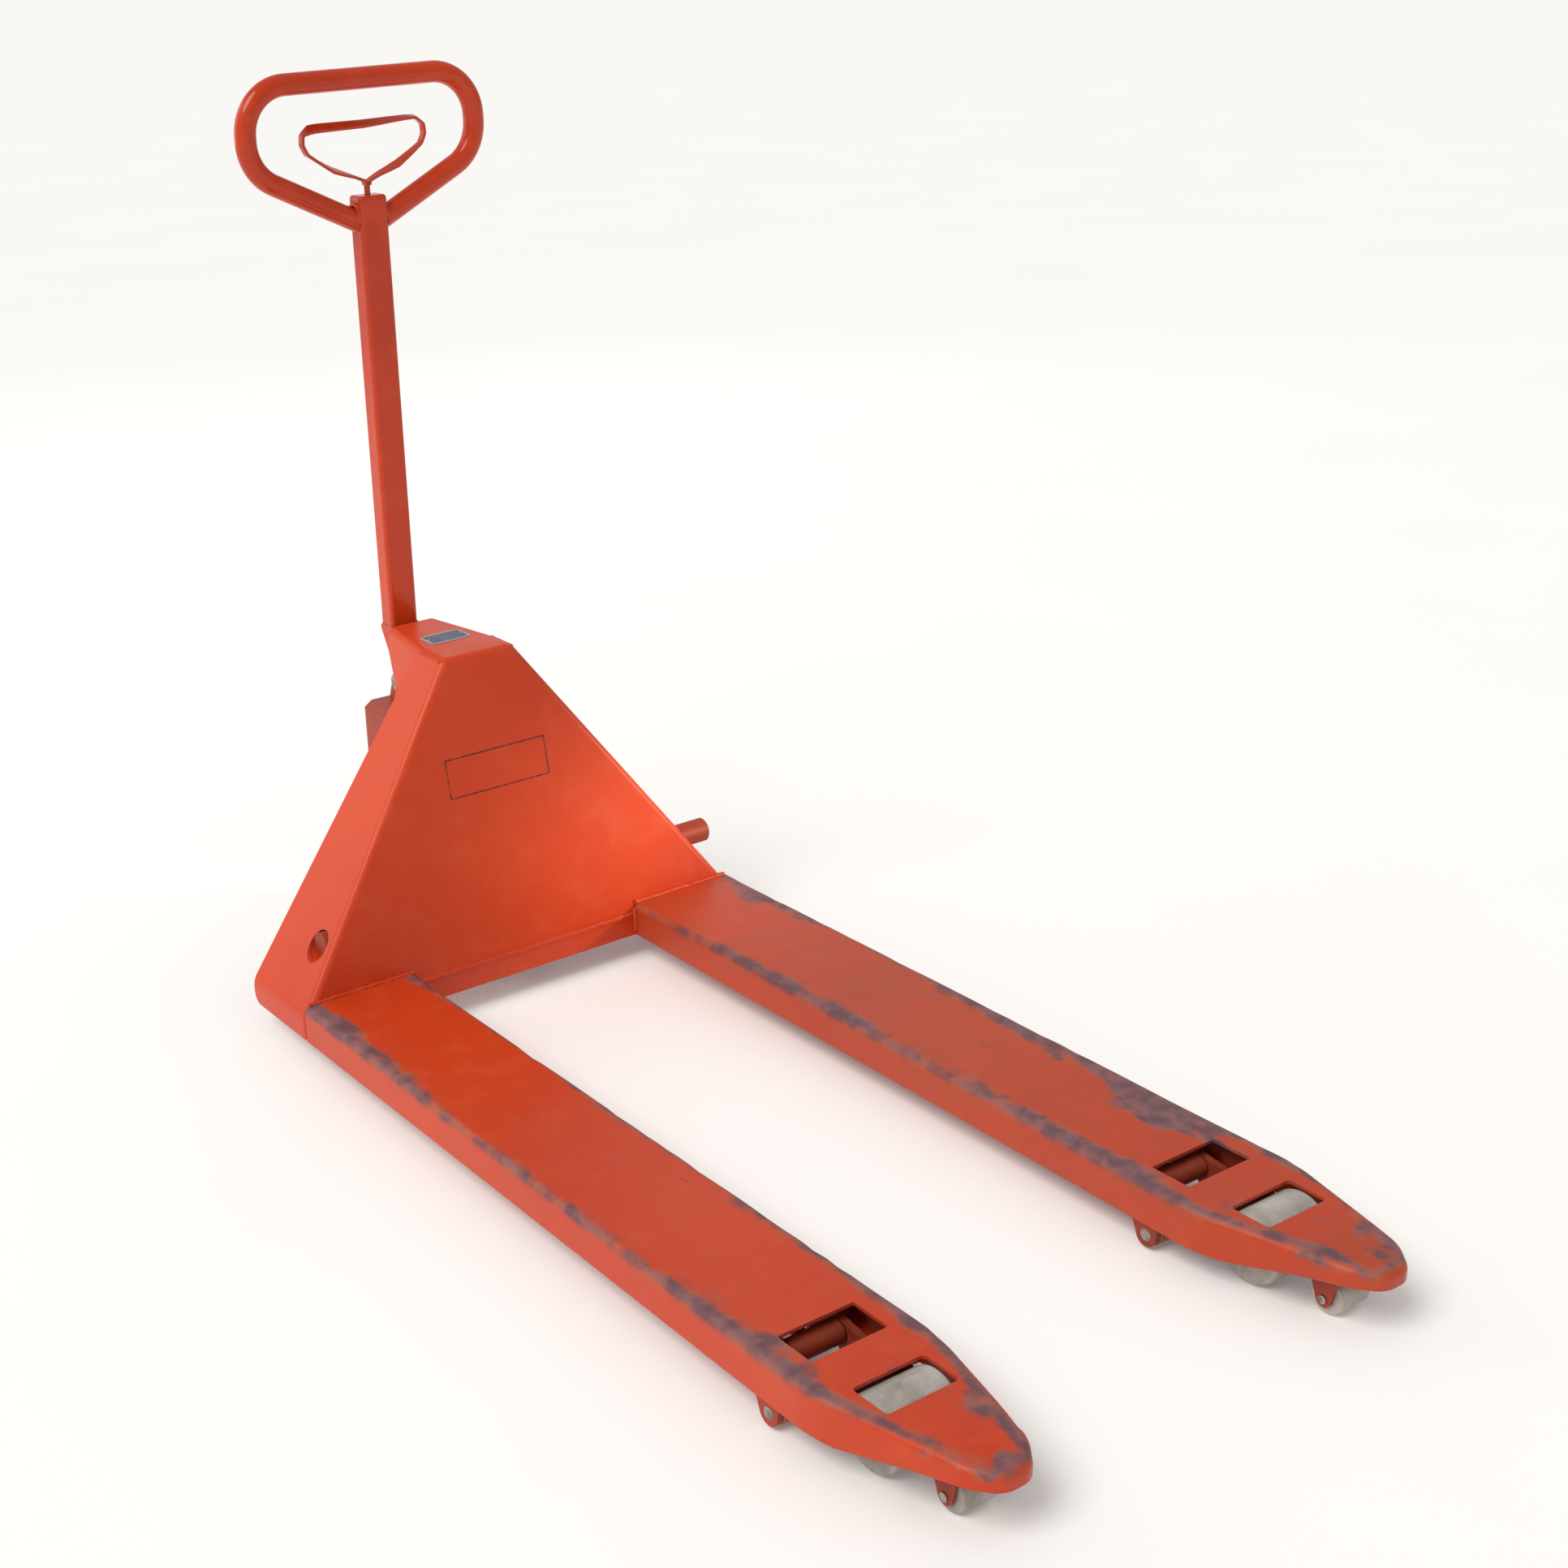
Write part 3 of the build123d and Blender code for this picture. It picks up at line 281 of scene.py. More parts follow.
# %% [markdown]
# ## Fork channels
# Each fork is pressed from 4 mm sheet: a flat top, two walls, a large soft bend along the top edges and a
# toe that narrows and rises. A box cut by planes gives the outline, bevels give the bends, and the open
# underside comes from deleting the bottom before the sheet gets its thickness. Cuts every 20 mm give points
# along the bends, which years of pallets have pushed in a little here and there.

# %% Fork channels
SHEET = 4 * MM
TOE_LENGTH = 196 * MM
TIP_LENGTH = 30 * MM
TOE_HALF = 41 * MM
NOSE_HALF = 18 * MM
EDGE_BEND = 9 * MM
NOSE_DROP = 5 * MM
DENT = 2.6 * MM
CUT_STEP = 20 * MM
UNDERSIDE = ((170, 0), (120, 9), (80, 18), (35, 24), (0, 25))
SLOTS = ((233.4, 286.4, 48.5, 2.0), (127.7, 178.5, 45.2, 5.0))


def underside_rise(y):
    """How far the walls' lower edge has risen at a place along the toe."""
    from_tip = (y - TIP_Y) / MM
    for (far, low_rise), (near, high_rise) in zip(UNDERSIDE, UNDERSIDE[1:]):
        if near <= from_tip <= far:
            share = (far - from_tip) / (far - near)
            return (low_rise + share * (high_rise - low_rise)) * MM
    return 0.0


def fork_skin(name, centre_x, seed):
    """One pressed fork channel about its centre line."""
    low = Vector((centre_x - FORK_HALF, TIP_Y, FORK_LOW.z))
    high = Vector((centre_x + FORK_HALF, HEEL_Y, FORK_TOP))
    skin = start_box(name, low, high)
    bpy.ops.object.mode_set(mode="EDIT")
    toe_y = TIP_Y + TOE_LENGTH
    shoulder_y = TIP_Y + TIP_LENGTH
    for side in (-1, 1):
        cut((centre_x + side * FORK_HALF, toe_y, 0),
            (side * (TOE_LENGTH - TIP_LENGTH), TOE_HALF - FORK_HALF, 0), True)
        cut((centre_x + side * TOE_HALF, shoulder_y, 0), (side * TIP_LENGTH, NOSE_HALF - TOE_HALF, 0), True)
    for corner_y, offset in ((toe_y, 22 * MM), (shoulder_y, 10 * MM), (TIP_Y, 12 * MM)):
        choose(skin, "EDGE", lambda e: upright_edge(e) and abs(middle(e).y - corner_y) < 1 * MM)
        bpy.ops.mesh.bevel(offset=offset, segments=6, profile=0.5, affect="EDGES", clamp_overlap=False)
    choose(skin, "EDGE", lambda e: all(abs(v.co.z - high.z) < 0.1 * MM for v in e.verts)
           and middle(e).y < HEEL_Y - 1 * MM)
    bpy.ops.mesh.bevel(offset=EDGE_BEND, segments=5, profile=0.5, affect="EDGES", clamp_overlap=False)
    place_y = TIP_Y + 7 * MM
    while place_y < HEEL_Y - 5 * MM:
        cut((0, place_y, 0), (0, 1, 0))
        place_y += CUT_STEP
    choose(skin, "FACE", lambda f: f.normal.z < -0.9 or f.normal.y > 0.9)
    bpy.ops.mesh.delete(type="FACE")
    mesh = bmesh.from_edit_mesh(skin.data)
    for vert in mesh.verts:
        if abs(vert.co.z - low.z) < 0.1 * MM:
            vert.co.z += underside_rise(vert.co.y)
        nose_share = max(0.0, 1 - (vert.co.y - TIP_Y) / (70 * MM))
        if vert.co.z > high.z - EDGE_BEND - 1 * MM:
            vert.co.z -= NOSE_DROP * nose_share ** 2
        near_top = (vert.co.z - (high.z - EDGE_BEND - NOSE_DROP)) / EDGE_BEND
        if near_top > 0 and TIP_Y + 20 * MM < vert.co.y < HEEL_Y - 15 * MM:
            across = (vert.co.x - centre_x) / FORK_HALF
            if abs(across) > 0.5:
                wave = noise.noise(Vector((vert.co.y * 11, seed + across, 0)))
                hit = max(0.0, noise.noise(Vector((vert.co.y * 31, seed - across, 4))) - 0.15)
                push = DENT * min(near_top, 1) * (max(0.0, wave) * 0.5 + hit)
                vert.co.x -= push * (1 if across > 0 else -1)
                vert.co.z -= 0.5 * push
    bmesh.update_edit_mesh(skin.data)
    bpy.ops.object.mode_set(mode="OBJECT")
    modify(skin, "SOLIDIFY", thickness=SHEET, offset=-1, use_even_offset=True)
    for near, far, half, corner in SLOTS:
        cutter = start_box("slot_cutter", (centre_x - half * MM, TIP_Y + near * MM, FORK_TOP - 12 * MM),
                           (centre_x + half * MM, TIP_Y + far * MM, FORK_TOP + 12 * MM))
        bpy.ops.object.mode_set(mode="EDIT")
        choose(cutter, "EDGE", upright_edge)
        bpy.ops.mesh.bevel(offset=corner * MM, segments=4, affect="EDGES")
        bpy.ops.object.mode_set(mode="OBJECT")
        cut_out(skin, cutter)
    modify(skin, "BEVEL", width=0.8 * MM, segments=2, limit_method="ANGLE", angle_limit=radians(60))
    crease_smooth(skin)
    return skin


# %% [markdown]
# ## Fork wall lips
# The bottom of each fork wall is turned inwards as a narrow flange, which stiffens it. A flat bar with its
# free corners rounded off is enough, because the fold itself is hidden behind the wall.

# %% Fork wall lips
LIP_WIDE = 19 * MM
LIP_THICK = 4 * MM
LIP_FRONT_Y = TIP_Y + TOE_LENGTH + 24 * MM


def fork_lip(name, wall_x, inward):
    """The narrow flange turned inwards along the bottom of one fork wall."""
    ends = sorted((wall_x, wall_x + inward * LIP_WIDE))
    lip = start_box(name, (ends[0], LIP_FRONT_Y, FORK_LOW.z + 0.2 * MM),
                    (ends[1], HEEL_Y - 12 * MM, FORK_LOW.z + 0.2 * MM + LIP_THICK))
    bpy.ops.object.mode_set(mode="EDIT")
    choose(lip, "EDGE", lambda e: upright_edge(e) and (middle(e).x - wall_x) * inward > LIP_WIDE / 2)
    bpy.ops.mesh.bevel(offset=12 * MM, segments=5, affect="EDGES")
    bpy.ops.object.mode_set(mode="OBJECT")
    modify(lip, "BEVEL", width=1 * MM, segments=2, limit_method="ANGLE", angle_limit=radians(60))
    crease_smooth(lip)
    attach(lip, "chassis")


for side_name, side in SIDES:
    for wall_name, wall in (("outer", 1), ("inner", -1)):
        fork_lip(f"fork_lip_{wall_name}_{side_name}", side * (FORK_X + wall * (FORK_HALF - SHEET + 0.5 * MM)),
                 -side * wall)
    skin = fork_skin(f"fork_skin_{side_name}", side * FORK_X, 3.7 * side)
    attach(skin, "chassis")
    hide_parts(f"fork_{side_name}")
    print(skin.name, "faces", len(skin.data.polygons))

# %% [markdown]
# ## Frame shell
# The frame is a leaning front plate folded into a cap, with two sloping side plates welded on, in 5 mm
# plate. The cap runs on behind the side plates as a small hood over the pump, with skirts that narrow to
# the rear. One box cut by sloping planes gives the outside with every face meeting its neighbour, and
# pulling the upper rear face back makes the hood. Bevels then give the bends, and the inside comes from
# thickening the sheet inwards.

# %% Frame shell
PLATE = 5 * MM
BEND_Z = 66 * MM
CAP_Z = FRAME_HIGH.z
CAP_HALF = 54 * MM
CAP_FRONT_Y = HEEL_Y + 86 * MM
SIDE_REAR_Y = SIDE_HIGH.y
HOOD_REAR_Y = HOOD_HIGH.y - 3.5 * MM
HOOD_SKIRT_Z = 415 * MM
HOOD_REAR_HALF = 38 * MM
HOOD_REAR_SKIRT = (41 * MM, 439 * MM)
FRAME_BEND = 9 * MM
SIDE_RUN = FRAME_HIGH.x - CAP_HALF
shell = start_box("frame_shell", (FRAME_LOW.x, HEEL_Y, FRAME_LOW.z), (FRAME_HIGH.x, SIDE_REAR_Y, CAP_Z))
bpy.ops.object.mode_set(mode="EDIT")
for side in (-1, 1):
    cut((side * FRAME_HIGH.x, 0, BEND_Z), (side * (CAP_Z - BEND_Z), 0, SIDE_RUN), True)
cut((0, HEEL_Y, BEND_Z), (0, BEND_Z - CAP_Z, CAP_FRONT_Y - HEEL_Y), True)
cut((0, 0, HOOD_SKIRT_Z), (0, 0, 1))
choose(shell, "FACE", lambda f: f.normal.y > 0.9 and middle(f).z > HOOD_SKIRT_Z)
bpy.ops.mesh.extrude_region_move(TRANSFORM_OT_translate={"value": (0, HOOD_REAR_Y - SIDE_REAR_Y, 0)})
mesh = bmesh.from_edit_mesh(shell.data)
for vert in mesh.verts:
    if vert.co.y > HOOD_REAR_Y - 1 * MM:
        side = 1 if vert.co.x > 0 else -1
        down = (CAP_Z - vert.co.z) / (CAP_Z - HOOD_SKIRT_Z)
        line_x = CAP_HALF + (CAP_Z - vert.co.z) * SIDE_RUN / (CAP_Z - BEND_Z)
        inset = line_x - abs(vert.co.x)
        vert.co.x = side * (HOOD_REAR_HALF + down * (HOOD_REAR_SKIRT[0] - HOOD_REAR_HALF) - inset)
        vert.co.z = CAP_Z - down * (CAP_Z - HOOD_REAR_SKIRT[1])
bmesh.update_edit_mesh(shell.data)
choose(shell, "FACE", lambda f: (f.normal.z < -0.7) or (f.normal.y > 0.9))
bpy.ops.mesh.delete(type="FACE")
choose(shell, "EDGE", lambda e: len(e.link_faces) == 2 and e.calc_face_angle() > radians(8))
bpy.ops.mesh.bevel(offset=FRAME_BEND, segments=5, profile=0.5, affect="EDGES", clamp_overlap=False)
choose(shell, "VERT", lambda v: v.is_boundary and v.co.y > SIDE_REAR_Y - 1 * MM
       and v.co.z < FRAME_LOW.z + 1 * MM)
bpy.ops.mesh.bevel(offset=15 * MM, segments=5, affect="VERTICES")
bpy.ops.object.mode_set(mode="OBJECT")
modify(shell, "SOLIDIFY", thickness=PLATE, offset=-1, use_even_offset=True)
SHAFT_Y = (SHAFT_LOW.y + SHAFT_HIGH.y) / 2
SHAFT_Z = (SHAFT_LOW.z + SHAFT_HIGH.z) / 2
SHAFT_HOLE_R = 19 * MM
BOSS_BORE_R = 18.5 * MM
cut_out(shell, start_cylinder("shaft_cutter", (0, SHAFT_Y, SHAFT_Z), "X", SHAFT_HOLE_R, 1.0, 64))
WINDOW_HALF = 64 * MM
for side_name, side in SIDES:
    window_low = (side * FORK_X - WINDOW_HALF, HEEL_Y - 10 * MM, FRAME_LOW.z - 5 * MM)
    window_high = (side * FORK_X + WINDOW_HALF, HEEL_Y + 20 * MM, FORK_TOP - SHEET)
    cut_out(shell, start_box("window_cutter", window_low, window_high))
modify(shell, "BEVEL", width=0.8 * MM, segments=2, limit_method="ANGLE", angle_limit=radians(60))
crease_smooth(shell)

# %% [markdown]
# ## Shaft bosses
# A short thick tube on each side carries the rocker shaft out to the side plate and closes the gap round
# it. It is a cylinder cut by the slope of the side plate and then bored.

# %% Shaft bosses
BUSH_LOW, BUSH_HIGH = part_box("shaft_bushes")
BUSH_R = (BUSH_HIGH.z - BUSH_LOW.z) / 2
BOSS_LONG = 60 * MM
for side_name, side in SIDES:
    boss_centre = (side * (BUSH_HIGH.x + BOSS_LONG / 2), SHAFT_Y, SHAFT_Z)
    boss = start_cylinder(f"shaft_boss_{side_name}", boss_centre, "X", BUSH_R - 0.5 * MM, BOSS_LONG, 64)
    bpy.ops.object.mode_set(mode="EDIT")
    cut((side * (FRAME_HIGH.x - PLATE * 1.5), 0, BEND_Z), (side * (CAP_Z - BEND_Z), 0, SIDE_RUN), True)
    bpy.ops.object.mode_set(mode="OBJECT")
    cut_out(boss, start_cylinder("boss_cutter", (0, SHAFT_Y, SHAFT_Z), "X", BOSS_BORE_R, 1.0, 64))
    crease_smooth(boss)
    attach(boss, "chassis")
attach(shell, "chassis")
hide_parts("frame_front", "frame_side_left", "frame_side_right", "hood")
print("frame shell faces", len(shell.data.polygons))

# %% [markdown]
# ## Weld beads
# The plates are joined by fillet welds. A weld is a row of small frozen ripples, so a bead is a curve whose
# thickness swells and shrinks every few millimetres, made into a mesh and left half sunk in the joint. A
# seed for each bead keeps the ripples from repeating.

# %% Weld beads
RIPPLE = 4.5 * MM


def weld_bead(name, points, radius, seed, body="chassis"):
    """A rippled bead along a line of points."""
    curve = bpy.data.curves.new(name, "CURVE")
    curve.dimensions = "3D"
    curve.bevel_depth = 1.0
    curve.bevel_resolution = 2
    curve.use_fill_caps = True
    spots = []
    for start, end in zip(points, points[1:]):
        start, end = Vector(start), Vector(end)
        count = max(2, round((end - start).length / RIPPLE * 2))
        spots += [start.lerp(end, step / count) for step in range(count)]
    spots.append(Vector(points[-1]))
    line = curve.splines.new("POLY")
    line.points.add(len(spots) - 1)
    for step, spot in enumerate(spots):
        wander = noise.noise(Vector((step * 0.31, seed, 0))) * radius * 0.35
        line.points[step].co = (spot.x, spot.y, spot.z + wander, 1)
        swell = 0.12 if step % 2 else -0.10
        line.points[step].radius = radius * (1 + swell + 0.25 * noise.noise(Vector((step * 0.23, seed, 7))))
    bead = bpy.data.objects.new(name, curve)
    bpy.context.scene.collection.objects.link(bead)
    alone(bead)
    bpy.ops.object.convert(target="MESH")
    bead = bpy.context.active_object
    bpy.ops.object.shade_smooth()
    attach(bead, body)
    return bead


lean = (CAP_FRONT_Y - HEEL_Y) / (CAP_Z - BEND_Z)
joint_y = HEEL_Y + lean * (FORK_TOP - BEND_Z)
welds = []
GRIP_ROOT_Z = 1021 * MM
for side_name, side in SIDES:
    outer = side * (FORK_X + FORK_HALF - 7 * MM)
    inner = side * (FORK_X - FORK_HALF + 2 * MM)
    welds.append(weld_bead(f"fork_weld_{side_name}", (
        (outer, joint_y - 1 * MM, FORK_TOP), (inner, joint_y - 1 * MM, FORK_TOP)), 3.4 * MM, 1.3 + side))
    welds.append(weld_bead(f"fork_wall_weld_{side_name}", (
        (inner - side * 3 * MM, HEEL_Y - 1 * MM, FORK_TOP - 6 * MM),
        (inner - side * 3 * MM, HEEL_Y - 1 * MM, FRAME_LOW.z + 8 * MM)), 3.2 * MM, 5.3 + side))
    welds.append(weld_bead(f"cap_weld_{side_name}", (
        (side * (CAP_HALF + 2 * MM), CAP_FRONT_Y + 6 * MM, CAP_Z - 5.4 * MM),
        (side * (CAP_HALF + 2 * MM), SIDE_REAR_Y - 4 * MM, CAP_Z - 5.4 * MM)), 2.6 * MM, 9.1 + side))
    root_x = side * TUBE_HIGH.x
    tube_y = (TUBE_LOW.y + TUBE_HIGH.y) / 2
    ring = [(root_x, tube_y + 12 * MM * cos(turn * pi / 8), GRIP_ROOT_Z + 15 * MM * sin(turn * pi / 8))
            for turn in range(17)]
    welds.append(weld_bead(f"grip_weld_{side_name}", ring, 3.4 * MM, 2.7 + side, "handle"))
foot_z = TUBE_LOW.z
half_x, half_y = TUBE_HIGH.x - 2 * MM, (TUBE_HIGH.y - TUBE_LOW.y) / 2 - 2.6 * MM
welds.append(weld_bead("tube_foot_weld", [(x * half_x, tube_y + y * half_y, foot_z) for x, y in (
    (-1, -1), (1, -1), (1, 1), (-1, 1), (-1, -1))], 2.0 * MM, 12.1, "handle"))
skirt_half = FORK_X - FORK_HALF
ledge_y = HEEL_Y + 1.5 * MM
weld_bead("skirt_ledge", ((-skirt_half, ledge_y, BEND_Z), (skirt_half, ledge_y, BEND_Z)), 3.6 * MM, 20.5)
print("welds", len(welds))

# %% [markdown]
# ## Release loop
# The loop that the fingers pull to lower the truck is bent from a flat strip of spring steel about 11 mm
# wide and 4 mm thick, with its ends brought together on a thin stem. Its outline is drawn as a line of
# edges, pulled back into a ribbon and thickened. Its corners are short slanted runs, as a strip bent over
# the edge of a vice gets, and the top bar is a little twisted from years of pulling.

# %% Release loop
LOOP_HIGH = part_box("release_loop")[1]
STRIP_THICK = 4.0 * MM
STRIP_WIDE = 11 * MM
STRIP_TWIST = 9 * MM
LEG_TWIST = 6 * MM
BAR_Z = LOOP_HIGH.z - STRIP_THICK / 2 - 0.4 * MM
BAR_HALF = LOOP_HIGH.x - STRIP_THICK
STEM_TOP = 1062 * MM
STRIP_LINE = (
    (2 * MM, STEM_TOP - 4 * MM), (4 * MM, STEM_TOP + 2 * MM), (48 * MM, 1084 * MM),
    (BAR_HALF - 6 * MM, BAR_Z - 36 * MM), (BAR_HALF, BAR_Z - 24 * MM), (BAR_HALF - 1 * MM, BAR_Z - 12 * MM),
    (BAR_HALF - 12 * MM, BAR_Z - 1 * MM), (BAR_HALF - 26 * MM, BAR_Z), (0, BAR_Z - 0.6 * MM),
)
strip_points = list(STRIP_LINE) + [(-x, z) for x, z in reversed(STRIP_LINE[:-1])]
rear_y = tube_y + STRIP_WIDE / 2
strip_data = bpy.data.meshes.new("release_strip")
strip_data.from_pydata([(x, rear_y, z) for x, z in strip_points],
                       [(step, step + 1) for step in range(len(strip_points) - 1)], [])
strip = bpy.data.objects.new("release_strip", strip_data)
bpy.context.scene.collection.objects.link(strip)
alone(strip)
bpy.ops.object.mode_set(mode="EDIT")
bpy.ops.mesh.select_all(action="SELECT")
bpy.ops.mesh.extrude_region_move(TRANSFORM_OT_translate={"value": (0, -STRIP_WIDE, 0)})
mesh = bmesh.from_edit_mesh(strip.data)
for vert in mesh.verts:
    if vert.co.y < tube_y:
        leftness = (BAR_HALF - vert.co.x) / (2 * BAR_HALF)
        if vert.co.z > BAR_Z - 2 * MM:
            vert.co.z -= STRIP_TWIST * min(1.0, 0.15 + 1.4 * leftness)
        elif 20 * MM < abs(vert.co.x) < BAR_HALF - 10 * MM:
            vert.co.z -= LEG_TWIST
bmesh.update_edit_mesh(strip.data)
bpy.ops.mesh.select_all(action="SELECT")
bpy.ops.mesh.subdivide(number_cuts=2, smoothness=0.25)
bpy.ops.object.mode_set(mode="OBJECT")
modify(strip, "SOLIDIFY", thickness=STRIP_THICK, offset=0, use_even_offset=True)
modify(strip, "BEVEL", width=0.9 * MM, segments=2, limit_method="ANGLE", angle_limit=radians(50))
stem = start_cylinder("release_stem", (0, tube_y, (TUBE_HIGH.z + STEM_TOP) / 2 - 4 * MM), "Z", 4 * MM,
                      STEM_TOP - TUBE_HIGH.z + 12 * MM, 24)
bpy.ops.object.mode_set(mode="EDIT")
choose(stem, "EDGE", lambda e: not upright_edge(e) and middle(e).z > STEM_TOP - 4 * MM)
bpy.ops.mesh.bevel(offset=1.2 * MM, segments=3, affect="EDGES")
bpy.ops.object.mode_set(mode="OBJECT")
for piece in (strip, stem):
    crease_smooth(piece)
    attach(piece, "release")
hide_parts("release_loop")
print("release strip", len(strip.data.polygons), "faces")

# %% [markdown]
# ## Rivets, rings and grease nipples
# The data plate is held by two small rivets with domed heads, the steer wheels are held on their axle by
# retaining rings and each shaft bush has a grease nipple. These are turned parts, so one function spins a
# profile round an axis and stands the result at its place.

# %% Rivets, rings and grease nipples
def turned(name, place, axis_turn, profile, sides=24):
    """A turned part: a profile of (radius, height) spun round an axis and stood at a place."""
    bpy.ops.object.select_all(action="DESELECT")
    mesh_data = bpy.data.meshes.new(name)
    mesh_data.from_pydata([(radius, 0, height) for radius, height in profile],
                          [(step, step + 1) for step in range(len(profile) - 1)], [])
    piece = bpy.data.objects.new(name, mesh_data)
    bpy.context.scene.collection.objects.link(piece)
    alone(piece)
    bpy.ops.object.mode_set(mode="EDIT")
    bpy.ops.mesh.select_all(action="SELECT")
    bpy.ops.mesh.spin(steps=sides, angle=2 * pi, center=(0, 0, 0), axis=(0, 0, 1))
    bpy.ops.mesh.select_all(action="SELECT")
    bpy.ops.mesh.remove_doubles(threshold=0.005 * MM)
    bpy.ops.mesh.normals_make_consistent(inside=False)
    bpy.ops.object.mode_set(mode="OBJECT")
    piece.data.transform(Matrix.Translation(place) @ Euler(axis_turn).to_matrix().to_4x4())
    alone(piece)
    bpy.ops.object.shade_smooth_by_angle(angle=radians(40))
    return piece


PLATE_LOW, PLATE_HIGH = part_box("label_plate")
PLATE_CENTRE = (PLATE_LOW + PLATE_HIGH) / 2
rivet_profile = [(0, 1.5), (1.1, 1.3), (1.9, 0.7), (2.2, 0.0), (2.2, -0.4), (0, -0.4)]
rivet_profile = [(radius * MM, height * MM) for radius, height in rivet_profile]
small_parts = []
rivet_place = (PLATE_LOW.x + 5 * MM, PLATE_CENTRE.y, PLATE_HIGH.z)
first_rivet = turned("plate_rivet_1", rivet_place, (0, 0, 0), rivet_profile)
second_rivet = copy_to(first_rivet, "plate_rivet_2", (PLATE_HIGH.x - PLATE_LOW.x - 10 * MM, 0, 0))
small_parts += [(first_rivet, "chassis"), (second_rivet, "chassis")]
nipple_profile = [(0, 8), (1.4, 7.8), (1.9, 7), (1.4, 6), (1.4, 5), (3.2, 4.6), (3.2, 0), (0, 0)]
nipple_profile = [(radius * MM, height * MM) for radius, height in nipple_profile]
for side_name, side in SIDES:
    nipple = turned(f"bush_nipple_{side_name}", (side * (BUSH_HIGH.x - 9 * MM), SHAFT_Y + 23 * MM, SHAFT_Z),
                    (-pi / 2, 0, 0), nipple_profile, 6)
    small_parts.append((nipple, "chassis"))
AXLE_LOW, AXLE_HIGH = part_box("steer_axle")
ring_profile = [(10.0, -0.8), (13.4, -0.8), (13.4, 0.8), (10.0, 0.8), (10.0, -0.8)]
ring_profile = [(radius * MM, height * MM) for radius, height in ring_profile]
axle_y, axle_z = (AXLE_LOW.y + AXLE_HIGH.y) / 2, (AXLE_LOW.z + AXLE_HIGH.z) / 2
for side_name, side in SIDES:
    ring_part = turned(f"axle_ring_{side_name}", (side * (AXLE_HIGH.x - 1.7 * MM), axle_y, axle_z),
                       (0, pi / 2, 0), ring_profile, 32)
    small_parts.append((ring_part, "pump"))

# %% [markdown]
# ## Push rod sleeves and tie bars
# Where a push rod meets its wheel link, a sleeve goes round the joint pin from one side to the other, and a
# thinner bar behind it ties the two plates of the link. Each rides with the part that it is welded to.

# %% Push rod sleeves and tie bars
ROD_TUBE_R = 14 * MM
ROD_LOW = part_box("push_rod_left")[0]
JOINT_Y = ROD_LOW.y + 10 * MM
JOINT_Z = 52 * MM
TIE_BAR_Z = 40 * MM
for side_name, side in SIDES:
    sleeve_centre = (side * FORK_X, JOINT_Y, JOINT_Z)
    sleeve = start_cylinder(f"rod_sleeve_{side_name}", sleeve_centre, "X", ROD_TUBE_R, 64 * MM, 40)
    bpy.ops.object.mode_set(mode="EDIT")
    choose(sleeve, "FACE", lambda f: abs(f.normal.x) > 0.9)
    bpy.ops.mesh.inset(thickness=4 * MM)
    choose(sleeve, "EDGE", lambda e: abs((e.verts[0].co - e.verts[1].co).x) < 0.1 * MM
           and (middle(e) - Vector((middle(e).x, JOINT_Y, JOINT_Z))).length > ROD_TUBE_R * 0.95)
    bpy.ops.mesh.bevel(offset=1 * MM, segments=2, affect="EDGES")
    bpy.ops.object.mode_set(mode="OBJECT")
    tie_bar = start_cylinder(f"link_tie_bar_{side_name}", (side * FORK_X, JOINT_Y - 32 * MM, TIE_BAR_Z), "X",
                             9 * MM, 60 * MM, 32)
    for piece, body in ((sleeve, f"push_rod_{side_name}"), (tie_bar, f"wheel_link_{side_name}")):
        crease_smooth(piece)
        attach(piece, body)
for piece, body in small_parts:
    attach(piece, body)

# %% [markdown]
# ## Return spring
# The return spring round the pump plunger is a coil of round wire: a helix drawn as a curve with a round
# section. It rides with the pump.

# %% Return spring
SPRING_LOW, SPRING_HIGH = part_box("plunger_spring")
SPRING_LONG = SPRING_HIGH.z - SPRING_LOW.z
COILS = 6
COIL_STEPS = 24
WIRE_R = 1.1 * MM
COIL_R = (SPRING_HIGH.x - SPRING_LOW.x) / 2 - WIRE_R
coil_y = (SPRING_LOW.y + SPRING_HIGH.y) / 2
coil_curve = bpy.data.curves.new("return_spring", "CURVE")
coil_curve.dimensions = "3D"
coil_curve.bevel_depth = WIRE_R
coil_curve.use_fill_caps = True
wire_line = coil_curve.splines.new("POLY")
wire_line.points.add(COILS * COIL_STEPS)
for step in range(COILS * COIL_STEPS + 1):
    turn = 2 * pi * step / COIL_STEPS
    climb = (SPRING_LONG - 2 * WIRE_R) * step / (COILS * COIL_STEPS)
    wire_z = SPRING_LOW.z + WIRE_R + climb
    wire_line.points[step].co = (COIL_R * cos(turn), coil_y + COIL_R * sin(turn), wire_z, 1)
coil = bpy.data.objects.new("return_spring", coil_curve)
bpy.context.scene.collection.objects.link(coil)
alone(coil)
bpy.ops.object.convert(target="MESH")
coil = bpy.context.active_object
bpy.ops.object.shade_smooth()
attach(coil, "pump")
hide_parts("plunger_spring")
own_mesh(coil)
print("small parts", len(small_parts))

# %% [markdown]
# ## How the finishes are made
# Every finish is worked out from where a point is on the truck, in metres, so it does not slide when a part
# moves and needs no pictures. Colours are written as the hex values a paint shop would quote and turned to
# linear light by one function. One more function adds a node with its settings and its links, and hands
# back one output.

